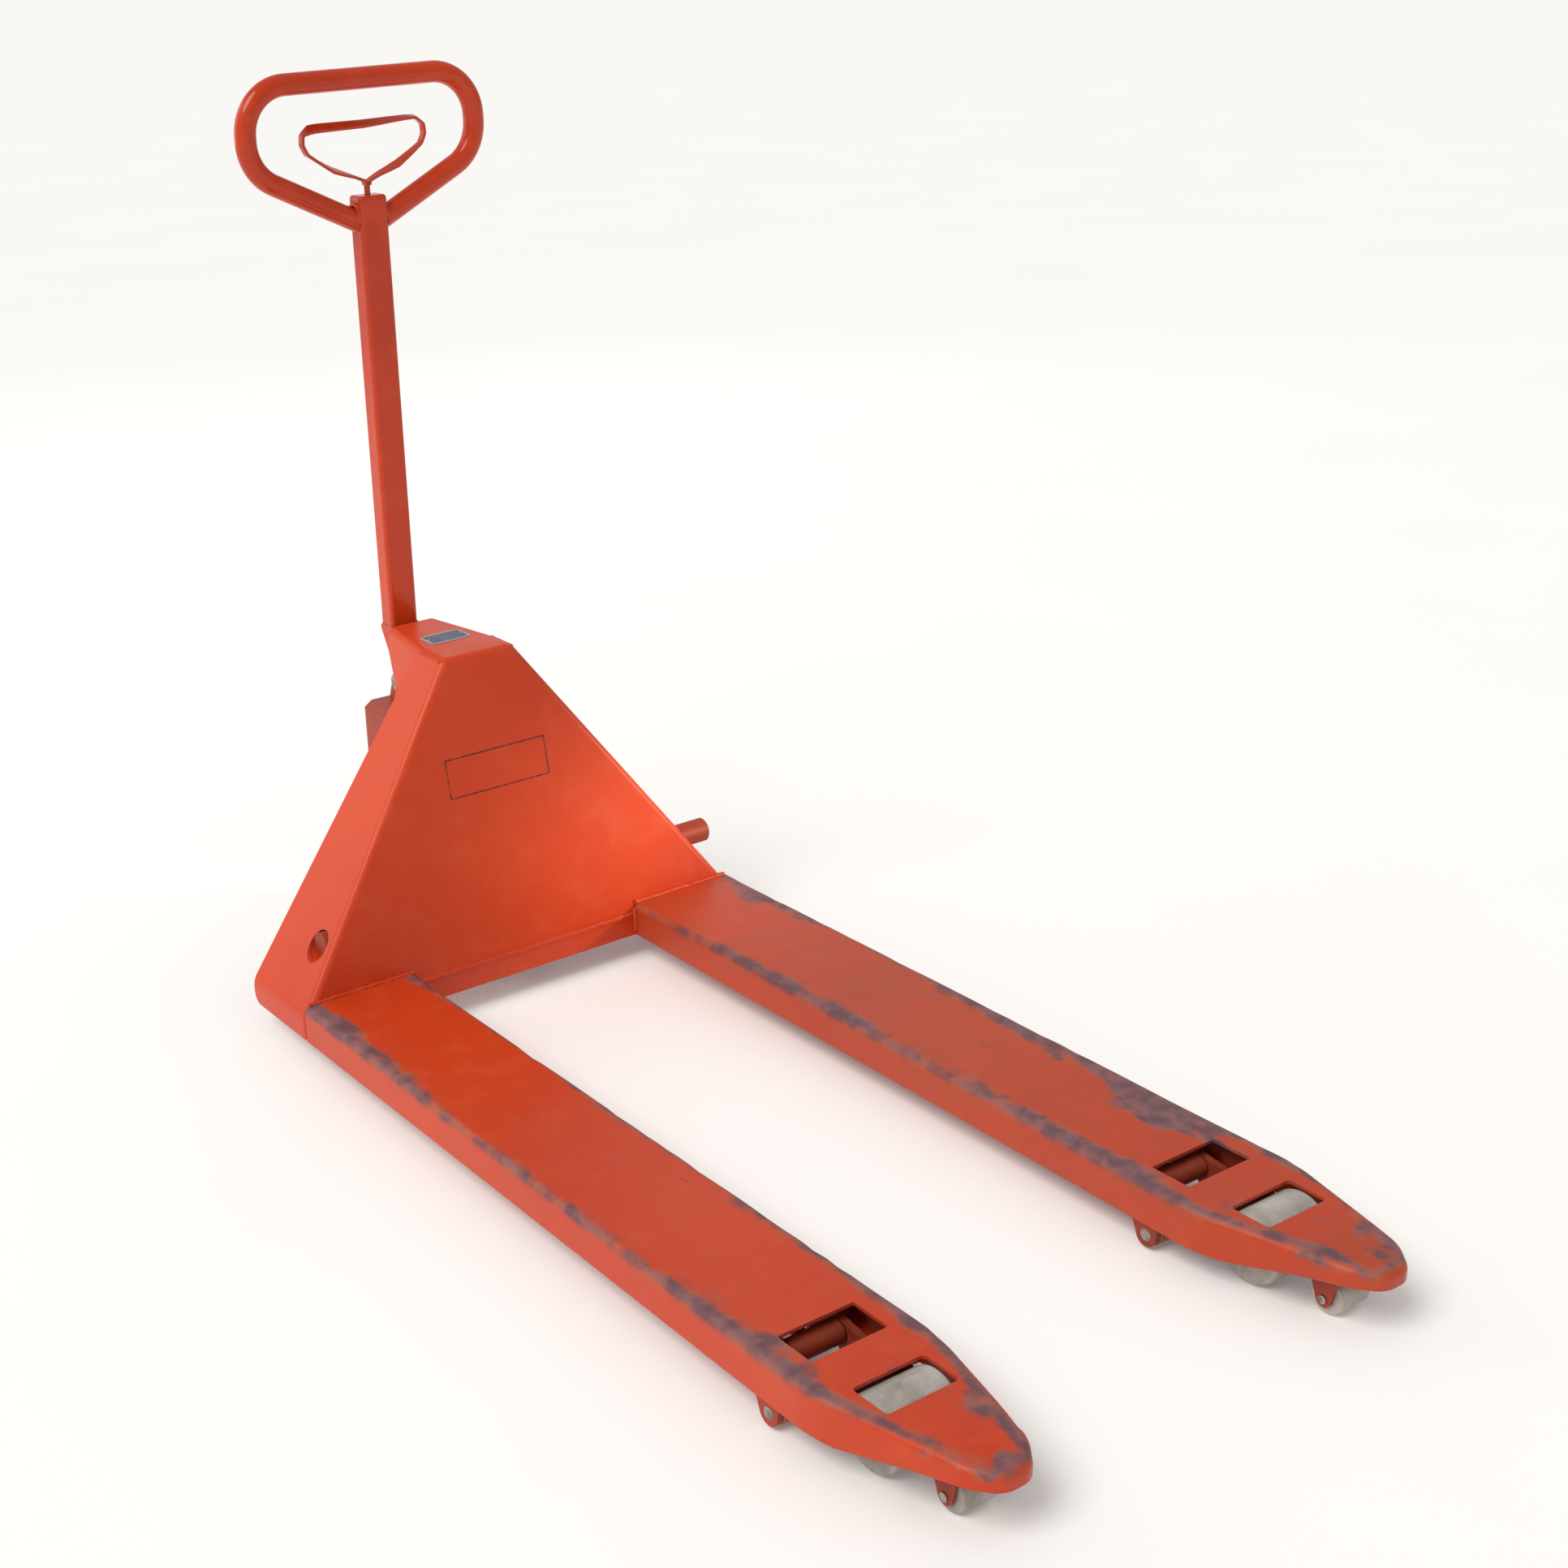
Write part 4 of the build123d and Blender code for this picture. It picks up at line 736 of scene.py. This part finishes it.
# %% Colour and node tools
def colour(hex_code):
    """A paint-shop hex colour as linear light."""
    channels = []
    for start in (0, 2, 4):
        value = int(hex_code[start:start + 2], 16) / 255
        channels.append(value / 12.92 if value <= 0.04045 else ((value + 0.055) / 1.055) ** 2.4)
    return (*channels, 1.0)


def put(tree, kind, inputs, out=0, stops=(), **settings):
    """Add a node: its settings, its inputs as values or links and a ramp's stops. Gives one of its outputs."""
    made = tree.nodes.new("ShaderNode" + kind)
    for name, value in settings.items():
        setattr(made, name, value)
    for socket, value in inputs.items():
        if isinstance(value, bpy.types.NodeSocket):
            tree.links.new(value, made.inputs[socket])
        else:
            made.inputs[socket].default_value = value
    for index, (place, shade) in enumerate(stops):
        elements = made.color_ramp.elements
        element = elements[index] if index < len(elements) else elements.new(1.0)
        element.position = place
        element.color = (shade, shade, shade, 1.0)
    return made.outputs[out] if made.outputs else None


def blank(name):
    """A new material with an empty node tree, and its place on the truck in metres."""
    material = bpy.data.materials.new(name)
    material.use_nodes = True
    tree = material.node_tree
    tree.nodes.clear()
    return material, tree, put(tree, "TexCoord", {}, "Object")


def edges(tree, radius):
    """Where an edge is sharper than a radius: 1 on the edge and 0 on the flat."""
    soft = put(tree, "Bevel", {"Radius": radius}, samples=4)
    flat = put(tree, "NewGeometry", {}, "Normal")
    agree = put(tree, "VectorMath", {0: soft, 1: flat}, "Value", operation="DOT_PRODUCT")
    return put(tree, "MapRange", {0: agree, 1: 0.995, 2: 0.90})


def finish_with(tree, base, rough, bump_height, bump_distance, **fixed):
    """The shader and the output, with a bump and settings that are the same all over."""
    normal = put(tree, "Bump", {"Height": bump_height, "Distance": bump_distance, "Strength": 1.0})
    same = {name.replace("_", " "): value for name, value in fixed.items()}
    shader = put(tree, "BsdfPrincipled", {"Base Color": base, "Roughness": rough, "Normal": normal, **same})
    put(tree, "OutputMaterial", {"Surface": shader})


print("finish tools ready")

# %% [markdown]
# ## Orange enamel
# The frame is sprayed with a thick orange alkyd enamel. It is glossy but not a mirror, with a faint
# orange-peel texture a few millimetres across and a slow drift of tone where the coat is thinner or faded.
# Pallets scrape the forks: the edges wear through to a purple-grey mix of old primer, dirt and bare steel,
# more in some stretches than in others. Each fork edge has a ramp for how wide the scrape is along its
# length, and a ragged noise decides where it really breaks through. The right fork also carries a thin
# brown film of dirt.

# %% Orange enamel for frame and forks
ENAMEL = "D0400F"
ENAMEL_DEEP = "C6380D"
ENAMEL_FADED = "D2562E"
SCUFF = "7A5C60"
SCUFF_DARK = "51434F"
RUBBED = "B0573C"
DIRT_FILM = "7C4430"
STENCIL_INK = "2A2024"
WORN_WIDTH = 60 * MM
SCRAPE_SOFT = (-6 * MM, 9 * MM)
ORANGE_PEEL = 1 / (4 * MM)
# how wide the scrape is, as a share of WORN_WIDTH, from the tip (0) to the heel (1)
SCRAPES = {
    ("near", "outer"): ((0.0, 0.34), (0.08, 0.22), (0.16, 0.30), (0.24, 0.46), (0.31, 0.30), (0.42, 0.14),
                        (0.74, 0.12), (0.84, 0.32), (0.93, 0.30), (1.0, 0.42)),
    ("near", "inner"): ((0.0, 0.30), (0.12, 0.24), (0.22, 0.22), (0.34, 0.20), (0.55, 0.13), (0.80, 0.10),
                        (0.96, 0.12), (1.0, 0.26)),
    ("far", "outer"): ((0.0, 0.36), (0.10, 0.26), (0.20, 0.40), (0.28, 0.72), (0.44, 0.62), (0.56, 0.26),
                       (0.80, 0.14), (0.93, 0.46), (1.0, 0.40)),
    ("far", "inner"): ((0.0, 0.32), (0.10, 0.24), (0.22, 0.34), (0.40, 0.24), (0.58, 0.26), (0.74, 0.34),
                       (0.84, 0.22), (0.92, 0.08), (1.0, 0.06)),
}


def edge_gap(tree, x, y):
    """How far a point on top of a fork is from the fork's edge, and how far it is outside the centre line."""
    from_middle = put(tree, "Math", {0: x}, operation="ABSOLUTE")
    from_centre = put(tree, "Math", {0: from_middle, 1: FORK_X}, operation="SUBTRACT")
    off_centre = put(tree, "Math", {0: from_centre}, operation="ABSOLUTE")
    half = put(tree, "MapRange", {0: y, 1: TIP_Y + TIP_LENGTH, 2: TIP_Y + TOE_LENGTH, 3: TOE_HALF, 4: FORK_HALF})
    side_gap = put(tree, "Math", {0: half, 1: off_centre}, operation="SUBTRACT")
    nose_gap = put(tree, "Math", {0: y, 1: TIP_Y}, operation="SUBTRACT")
    return put(tree, "Math", {0: side_gap, 1: nose_gap}, operation="MINIMUM"), from_centre


def scrape_width(tree, x, along, from_centre):
    """How wide the scrape is at this place along this edge, in metres."""
    is_outer = put(tree, "Math", {0: from_centre, 1: 0.0}, operation="GREATER_THAN")
    is_far = put(tree, "Math", {0: x, 1: 0.0}, operation="GREATER_THAN")
    width = {key: put(tree, "ValToRGB", {0: along}, stops=stops) for key, stops in SCRAPES.items()}
    near = put(tree, "Mix", {0: is_outer, 2: width[("near", "inner")], 3: width[("near", "outer")]})
    far = put(tree, "Mix", {0: is_outer, 2: width[("far", "inner")], 3: width[("far", "outer")]})
    share = put(tree, "Mix", {0: is_far, 2: near, 3: far})
    return put(tree, "Math", {0: share, 1: WORN_WIDTH}, operation="MULTIPLY")


def scrape_mask(tree, place):
    """Where pallets have scraped the tops of the forks, from 0 to 1."""
    x, y, z = put(tree, "SeparateXYZ", {0: place}).node.outputs[:]
    gap, from_centre = edge_gap(tree, x, y)
    along = put(tree, "MapRange", {0: y, 1: TIP_Y, 2: HEEL_Y})
    worn = scrape_width(tree, x, along, from_centre)
    long_way = put(tree, "Mapping", {"Vector": place, "Scale": (1.5, 0.5, 1.0)})
    ragged = put(tree, "TexNoise", {"Vector": long_way, "Scale": 20.0, "Detail": 4.0})
    uneven = put(tree, "MapRange", {0: ragged, 1: 0.30, 2: 0.68, 3: 0.40, 4: 1.75})
    reach = put(tree, "Math", {0: worn, 1: uneven}, operation="MULTIPLY")
    fine = put(tree, "TexNoise", {"Vector": long_way, "Scale": 90.0, "Detail": 3.0})
    frayed = put(tree, "MapRange", {0: fine, 1: 0.3, 2: 0.7, 3: -2 * MM, 4: 2 * MM})
    reach = put(tree, "Math", {0: reach, 1: frayed}, operation="ADD")
    inside = put(tree, "Math", {0: reach, 1: gap}, operation="SUBTRACT")
    scraped = put(tree, "MapRange", {0: inside, 1: SCRAPE_SOFT[0], 2: SCRAPE_SOFT[1]})
    kept_edge = put(tree, "MapRange", {0: along, 1: 0.06, 2: 0.22, 3: 7 * MM, 4: 0.0})
    past_edge = put(tree, "Math", {0: gap, 1: kept_edge}, operation="SUBTRACT")
    bare = put(tree, "MapRange", {0: past_edge, 1: -5 * MM, 2: 4 * MM})
    scraped = put(tree, "Math", {0: scraped, 1: bare}, operation="MULTIPLY")
    toe = put(tree, "MapRange", {0: along, 1: 0.17, 2: 0.10})
    spots = put(tree, "TexNoise", {"Vector": place, "Scale": 17.0, "Detail": 3.0})
    blotch = put(tree, "MapRange", {0: spots, 1: 0.58, 2: 0.70})
    toe_marks = put(tree, "Math", {0: toe, 1: blotch}, operation="MULTIPLY")
    scraped = put(tree, "Math", {0: scraped, 1: toe_marks}, operation="MAXIMUM")
    drawn = put(tree, "Mapping", {"Vector": place, "Scale": (9.0, 1.1, 9.0)})
    lines = put(tree, "TexNoise", {"Vector": drawn, "Scale": 9.0, "Detail": 5.0, "Roughness": 0.7})
    scratches = put(tree, "MapRange", {0: lines, 1: 0.665, 2: 0.70, 3: 0.0, 4: 0.55})
    scraped = put(tree, "Math", {0: scraped, 1: scratches}, operation="MAXIMUM")
    patches = put(tree, "TexNoise", {"Vector": long_way, "Scale": 50.0, "Detail": 4.0, "Roughness": 0.6})
    patchy = put(tree, "MapRange", {0: patches, 1: 0.30, 2: 0.62, 3: 0.75, 4: 1.0})
    scraped = put(tree, "Math", {0: scraped, 1: patchy}, operation="MULTIPLY")
    on_top = put(tree, "MapRange", {0: z, 1: FORK_TOP - 15 * MM, 2: FORK_TOP - 5 * MM})
    on_fork = put(tree, "Math", {0: y, 1: HEEL_Y + 3 * MM}, operation="LESS_THAN")
    reached = put(tree, "Math", {0: on_top, 1: on_fork}, operation="MULTIPLY")
    return put(tree, "Math", {0: scraped, 1: reached}, operation="MULTIPLY")


def film_mask(tree, place):
    """A thin film of dirt on the right fork, with a little on the left one."""
    x = put(tree, "SeparateXYZ", {0: place})
    by_side = put(tree, "MapRange", {0: x, 1: -0.1, 2: 0.1, 3: 0.10, 4: 0.42})
    clouds = put(tree, "TexNoise", {"Vector": place, "Scale": 7.0, "Detail": 5.0, "Roughness": 0.6})
    cloudy = put(tree, "MapRange", {0: clouds, 1: 0.30, 2: 0.65, 3: 0.35, 4: 1.0})
    return put(tree, "Math", {0: by_side, 1: cloudy}, operation="MULTIPLY")


def enamel(name, coat, deep, faded, on_forks=False, stencil=False, chip=3 * MM, shine=0.36, dusty=0.12):
    """Sprayed alkyd enamel with drifted tone, orange peel, chipped edges and, on forks, scrapes."""
    material, tree, place = blank(name)
    drift = put(tree, "TexNoise", {"Vector": place, "Scale": 3.2, "Detail": 3.0})
    full_coat = put(tree, "MapRange", {0: drift, 1: 0.36, 2: 0.66})
    tone = put(tree, "Mix", {0: full_coat, 6: colour(deep), 7: colour(coat)}, 2, data_type="RGBA")
    cloudy = put(tree, "TexNoise", {"Vector": place, "Scale": 22.0, "Detail": 5.0, "Roughness": 0.65})
    fading = put(tree, "MapRange", {0: cloudy, 1: 0.50, 2: 0.78, 3: 0.0, 4: 0.45})
    tone = put(tree, "Mix", {0: fading, 6: tone, 7: colour(faded)}, 2, data_type="RGBA")
    grit = put(tree, "TexNoise", {"Vector": place, "Scale": 260.0, "Detail": 2.0})
    dust = put(tree, "MapRange", {0: grit, 1: 0.60, 2: 0.72, 3: 0.0, 4: dusty})
    tone = put(tree, "Mix", {0: dust, 6: tone, 7: colour(SCUFF)}, 2, data_type="RGBA")
    nicks = put(tree, "TexNoise", {"Vector": place, "Scale": 60.0, "Detail": 5.0, "Roughness": 0.7})
    nicked = put(tree, "MapRange", {0: nicks, 1: 0.46, 2: 0.60})
    worn = put(tree, "Math", {0: nicked, 1: edges(tree, chip)}, operation="MULTIPLY")
    if on_forks:
        worn = put(tree, "Math", {0: worn, 1: scrape_mask(tree, place)}, operation="MAXIMUM")
        tone = put(tree, "Mix", {0: film_mask(tree, place), 6: tone, 7: colour(DIRT_FILM)}, 2, data_type="RGBA")
    through = put(tree, "MapRange", {0: worn, 1: 0.35, 2: 0.95})
    old = put(tree, "Mix", {0: through, 6: colour(RUBBED), 7: colour(SCUFF)}, 2, data_type="RGBA")
    dark_spots = put(tree, "TexNoise", {"Vector": place, "Scale": 36.0, "Detail": 3.0})
    darker = put(tree, "MapRange", {0: dark_spots, 1: 0.42, 2: 0.62, 3: 0.0, 4: 0.8})
    old = put(tree, "Mix", {0: darker, 6: old, 7: colour(SCUFF_DARK)}, 2, data_type="RGBA")
    rubbed_off = put(tree, "MapRange", {0: worn, 1: 0.05, 2: 0.55, 3: 0.0, 4: 0.92})
    tone = put(tree, "Mix", {0: rubbed_off, 6: tone, 7: old}, 2, data_type="RGBA")
    if stencil:
        ink = stencil_mask(tree, place)
        tone = put(tree, "Mix", {0: ink, 6: tone, 7: colour(STENCIL_INK)}, 2, data_type="RGBA")
    coat_rough = put(tree, "MapRange", {0: cloudy, 1: 0.3, 2: 0.7, 3: shine - 0.05, 4: shine + 0.09})
    rough = put(tree, "Mix", {0: worn, 2: coat_rough, 3: 0.58})
    peel = put(tree, "TexNoise", {"Vector": place, "Scale": ORANGE_PEEL, "Detail": 2.0})
    skin_height = put(tree, "Math", {0: peel, 1: 0.35}, operation="MULTIPLY")
    lost_height = put(tree, "Math", {0: worn, 1: 0.7}, operation="MULTIPLY")
    height = put(tree, "Math", {0: skin_height, 1: lost_height}, operation="SUBTRACT")
    finish_with(tree, tone, rough, height, 0.25 * MM, IOR=1.5, Specular_IOR_Level=0.34)
    return material


STENCIL_LOW = (-78 * MM, 289 * MM)
STENCIL_HIGH = (77 * MM, 340 * MM)
STENCIL_LINE = 2.0 * MM


def inside_gap(tree, along, low, high):
    """How far a value is inside two limits, below 0 outside them."""
    shifted = put(tree, "Math", {0: along, 1: (low + high) / 2}, operation="SUBTRACT")
    from_middle = put(tree, "Math", {0: shifted}, operation="ABSOLUTE")
    return put(tree, "Math", {0: (high - low) / 2, 1: from_middle}, operation="SUBTRACT")


def stencil_mask(tree, place):
    """The thin stencilled rectangle on the front plate, rubbed a little."""
    x, y, z = put(tree, "SeparateXYZ", {0: place}).node.outputs[:]
    wide_gap = inside_gap(tree, x, STENCIL_LOW[0], STENCIL_HIGH[0])
    high_gap = inside_gap(tree, z, STENCIL_LOW[1], STENCIL_HIGH[1])
    gap = put(tree, "Math", {0: wide_gap, 1: high_gap}, operation="MINIMUM")
    from_line = put(tree, "Math", {0: gap}, operation="ABSOLUTE")
    line = put(tree, "Math", {0: from_line, 1: STENCIL_LINE / 2}, operation="LESS_THAN")
    front = put(tree, "Math", {0: y, 1: CAP_FRONT_Y}, operation="LESS_THAN")
    on_plate = put(tree, "Math", {0: line, 1: front}, operation="MULTIPLY")
    rubbing = put(tree, "TexNoise", {"Vector": place, "Scale": 90.0, "Detail": 4.0, "Roughness": 0.6})
    left_ink = put(tree, "MapRange", {0: rubbing, 1: 0.36, 2: 0.52, 3: 0.25, 4: 0.9})
    return put(tree, "Math", {0: on_plate, 1: left_ink}, operation="MULTIPLY")


fork_enamel = enamel("scraped_orange_enamel", ENAMEL, ENAMEL_DEEP, ENAMEL_FADED, on_forks=True)
frame_enamel = enamel("orange_enamel", ENAMEL, ENAMEL_DEEP, ENAMEL_FADED, stencil=True)
handle_enamel = enamel("glossy_orange_enamel", "CC3E12", "BA340E", "D6522A", shine=0.13, dusty=0.03)
pump_enamel = enamel("pump_orange_enamel", "B8401E", "8E3018", "C86040", chip=2 * MM, shine=0.42)
linkage_enamel = enamel("dull_orange_enamel", "B23E1E", "7A2E1A", "B8583A", chip=2 * MM, shine=0.5)
print("enamels", len([m for m in bpy.data.materials if "enamel" in m.name]))

# %% [markdown]
# ## Bare metals
# Pins, bearings and washers are turned bright steel that has dulled with grease, with fine rings from the
# lathe. The ram is hard chrome, ground smooth. Wheel hubs are sand-cast iron, dark, with a pebbly skin from
# the mould. For a metal the base colour is what it reflects, so steel is a mid grey and chrome is brighter,
# and dirt is a darker colour and a rougher surface in a cloudy pattern.

# %% Bare metals
def bare_metal(name, clean, dirty, shine, grain_scale, grain_stretch, grain_depth, dirt=(0.45, 0.68)):
    """Machined, ground or cast metal with grime in a cloudy pattern."""
    material, tree, place = blank(name)
    clouds = put(tree, "TexNoise", {"Vector": place, "Scale": 55.0, "Detail": 5.0, "Roughness": 0.65})
    grime = put(tree, "MapRange", {0: clouds, 1: dirt[0], 2: dirt[1]})
    tone = put(tree, "Mix", {0: grime, 6: colour(clean), 7: colour(dirty)}, 2, data_type="RGBA")
    bright = put(tree, "Math", {0: edges(tree, 1.2 * MM), 1: 0.5}, operation="MULTIPLY")
    tone = put(tree, "Mix", {0: bright, 6: tone, 7: colour(clean)}, 2, data_type="RGBA")
    held = put(tree, "Mapping", {"Vector": place, "Scale": grain_stretch})
    grain = put(tree, "TexNoise", {"Vector": held, "Scale": grain_scale, "Detail": 3.0, "Roughness": 0.6})
    rough = put(tree, "MapRange", {0: grime, 3: shine, 4: shine + 0.22})
    finish_with(tree, tone, rough, grain, grain_depth, Metallic=1.0)
    return material


turned_steel = bare_metal("turned_steel", "A9A6A1", "5E554D", 0.30, 900.0, (1.0, 0.2, 0.2), 0.02 * MM)
hard_chrome = bare_metal("hard_chrome", "D4D4D2", "8E8A84", 0.12, 600.0, (1, 1, 0.2), 0.006 * MM, (0.60, 0.80))
cast_iron = bare_metal("sand_cast_iron", "6C6762", "3E3A36", 0.50, 420.0, (1, 1, 1), 0.35 * MM)
print("metals made")

# %% [markdown]
# ## Nylon, rubber and the data plate
# Load rollers are cast nylon, once white, now warm grey from the floor, with dents and a dirty band near
# the rims. Steer tyres are black rubber, matt, scuffed grey where they touch the floor. The data plate is
# thin anodised aluminium printed dark blue-grey with a bare border. Its printed field is left empty.

# %% Nylon, rubber and the data plate
def moulded(name, fresh, dirty, shine, cloud_scale, pit_scale, pit_depth, dirt=(0.40, 0.66), **fixed):
    """A moulded plastic or rubber with grime and small pits."""
    material, tree, place = blank(name)
    clouds = put(tree, "TexNoise", {"Vector": place, "Scale": cloud_scale, "Detail": 6.0, "Roughness": 0.65})
    grime = put(tree, "MapRange", {0: clouds, 1: dirt[0], 2: dirt[1]})
    tone = put(tree, "Mix", {0: grime, 6: colour(fresh), 7: colour(dirty)}, 2, data_type="RGBA")
    round_it = put(tree, "Mapping", {"Vector": place, "Scale": (0.4, 3.0, 3.0)})
    rubs = put(tree, "TexNoise", {"Vector": round_it, "Scale": 40.0, "Detail": 4.0, "Roughness": 0.7})
    scuffs = put(tree, "MapRange", {0: rubs, 1: 0.58, 2: 0.70, 3: 0.0, 4: 0.5})
    tone = put(tree, "Mix", {0: scuffs, 6: tone, 7: colour(dirty)}, 2, data_type="RGBA")
    rim = put(tree, "Math", {0: edges(tree, 3 * MM), 1: 0.45}, operation="MULTIPLY")
    tone = put(tree, "Mix", {0: rim, 6: tone, 7: colour(dirty)}, 2, data_type="RGBA")
    pits = put(tree, "TexNoise", {"Vector": place, "Scale": pit_scale, "Detail": 3.0, "Roughness": 0.6})
    rough = put(tree, "MapRange", {0: grime, 3: shine, 4: shine + 0.15})
    finish_with(tree, tone, rough, pits, pit_depth, **fixed)
    return material


nylon = moulded("cast_nylon", "B9B3AC", "8E857C", 0.46, 14.0, 300.0, 0.15 * MM, IOR=1.53)
rubber = moulded("steer_tyre_rubber", "26241F", "5A544C", 0.72, 24.0, 500.0, 0.12 * MM, (0.50, 0.76), IOR=1.52)
orange_nylon = moulded("dusty_orange_nylon", "B4663E", "7A4A34", 0.52, 40.0, 300.0, 0.15 * MM, IOR=1.53)
PLATE_BORDER = 3.0 * MM


def data_plate_finish():
    """Anodised aluminium with an empty printed field inside a bare border."""
    material, tree, place = blank("anodised_data_plate")
    x, y, z = put(tree, "SeparateXYZ", {0: place}).node.outputs[:]
    wide_gap = inside_gap(tree, x, PLATE_LOW.x, PLATE_HIGH.x)
    deep_gap = inside_gap(tree, y, PLATE_LOW.y, PLATE_HIGH.y)
    gap = put(tree, "Math", {0: wide_gap, 1: deep_gap}, operation="MINIMUM")
    field = put(tree, "MapRange", {0: gap, 1: PLATE_BORDER, 2: PLATE_BORDER + 0.4 * MM})
    smudge = put(tree, "TexNoise", {"Vector": place, "Scale": 60.0, "Detail": 5.0, "Roughness": 0.7})
    smeared = put(tree, "MapRange", {0: smudge, 1: 0.35, 2: 0.65})
    print_tone = put(tree, "Mix", {0: smeared, 6: colour("3B4356"), 7: colour("6A7285")}, 2, data_type="RGBA")
    tone = put(tree, "Mix", {0: field, 6: colour("A9ADB4"), 7: print_tone}, 2, data_type="RGBA")
    rough = put(tree, "MapRange", {0: smudge, 1: 0.3, 2: 0.7, 3: 0.34, 4: 0.52})
    finish_with(tree, tone, rough, smudge, 0.03 * MM, Metallic=0.35)
    return material


data_plate = data_plate_finish()
floor_material, floor_tree, floor_place = blank("pale_floor")
floor_drift = put(floor_tree, "TexNoise", {"Vector": floor_place, "Scale": 1.5, "Detail": 3.0})
floor_tone = put(floor_tree, "Mix", {0: floor_drift, 6: colour("FAF9F7"), 7: colour("F5F4F2")}, 2, data_type="RGBA")
floor_grain = put(floor_tree, "TexNoise", {"Vector": floor_place, "Scale": 300.0, "Detail": 2.0})
finish_with(floor_tree, floor_tone, 0.75, floor_grain, 0.02 * MM, IOR=1.4, Emission_Color=(1, 1, 1, 1),
            Emission_Strength=0.09)
floor.data.materials.append(floor_material)
print("materials", len(bpy.data.materials))

# %% [markdown]
# ## Giving each part its finish
# Parts with the right shape already keep it and only get a better finish. A part's finish is found by the
# start of its name, so left and right parts share one line.

# %% Giving each part its finish
FINISHES = (
    (fork_enamel, ("fork_skin",)),
    (frame_enamel, ("frame_shell", "cap_weld", "shaft_boss", "skirt_ledge", "fork_weld", "fork_wall_weld", "ram_seat", "frame_",
                    "hood", "fork_lip",
                    "fork_left", "fork_right")),
    (handle_enamel, ("handle_tube", "grip_loop", "handle_foot", "release_strip", "release_stem", "release_loop",
                     "grip_weld", "tube_foot_weld")),
    (pump_enamel, ("pump_body", "lift_cylinder")),
    (linkage_enamel, ("rod_sleeve", "link_tie_bar", "rocker_shaft", "rod_arms", "lift_arms", "bearing_frame", "wheel_link", "push_rod",
                      "exit_brackets", "toe_brackets", "fork_ribs")),
    (turned_steel, ("bearing_frame_pins", "link_pins", "link_pivot_pins", "entry_roller_pins", "shaft_bushes",
                    "rod_pins", "thrust_ring", "gland_nut", "filler_plugs", "release_valve", "release_lever",
                    "return_spring", "plunger_spring", "steer_axle", "axle_washers", "handle_pivot_pin", "cam_roller",
                    "release_rod", "pump_plunger", "steer_bearings", "plate_rivet", "bush_nipple", "axle_ring")),
    (hard_chrome, ("ram",)),
    (cast_iron, ("steer_hub",)),
    (rubber, ("steer_tyre",)),
    (nylon, ("load_roller", "entry_roller_left", "entry_roller_right")),
    (orange_nylon, ("exit_rollers",)),
    (data_plate, ("label_plate",)),
)
counted = {}
for piece in list(bpy.context.scene.objects):
    if piece.type != "MESH" or piece is floor:
        continue
    best = max(((len(start), finish) for finish, starts in FINISHES for start in starts
                if piece.name.startswith(start)), key=lambda pair: pair[0])[1]
    piece.data.materials.clear()
    piece.data.materials.append(best)
    counted[best.name] = counted.get(best.name, 0) + 1
print("parts by finish", counted)
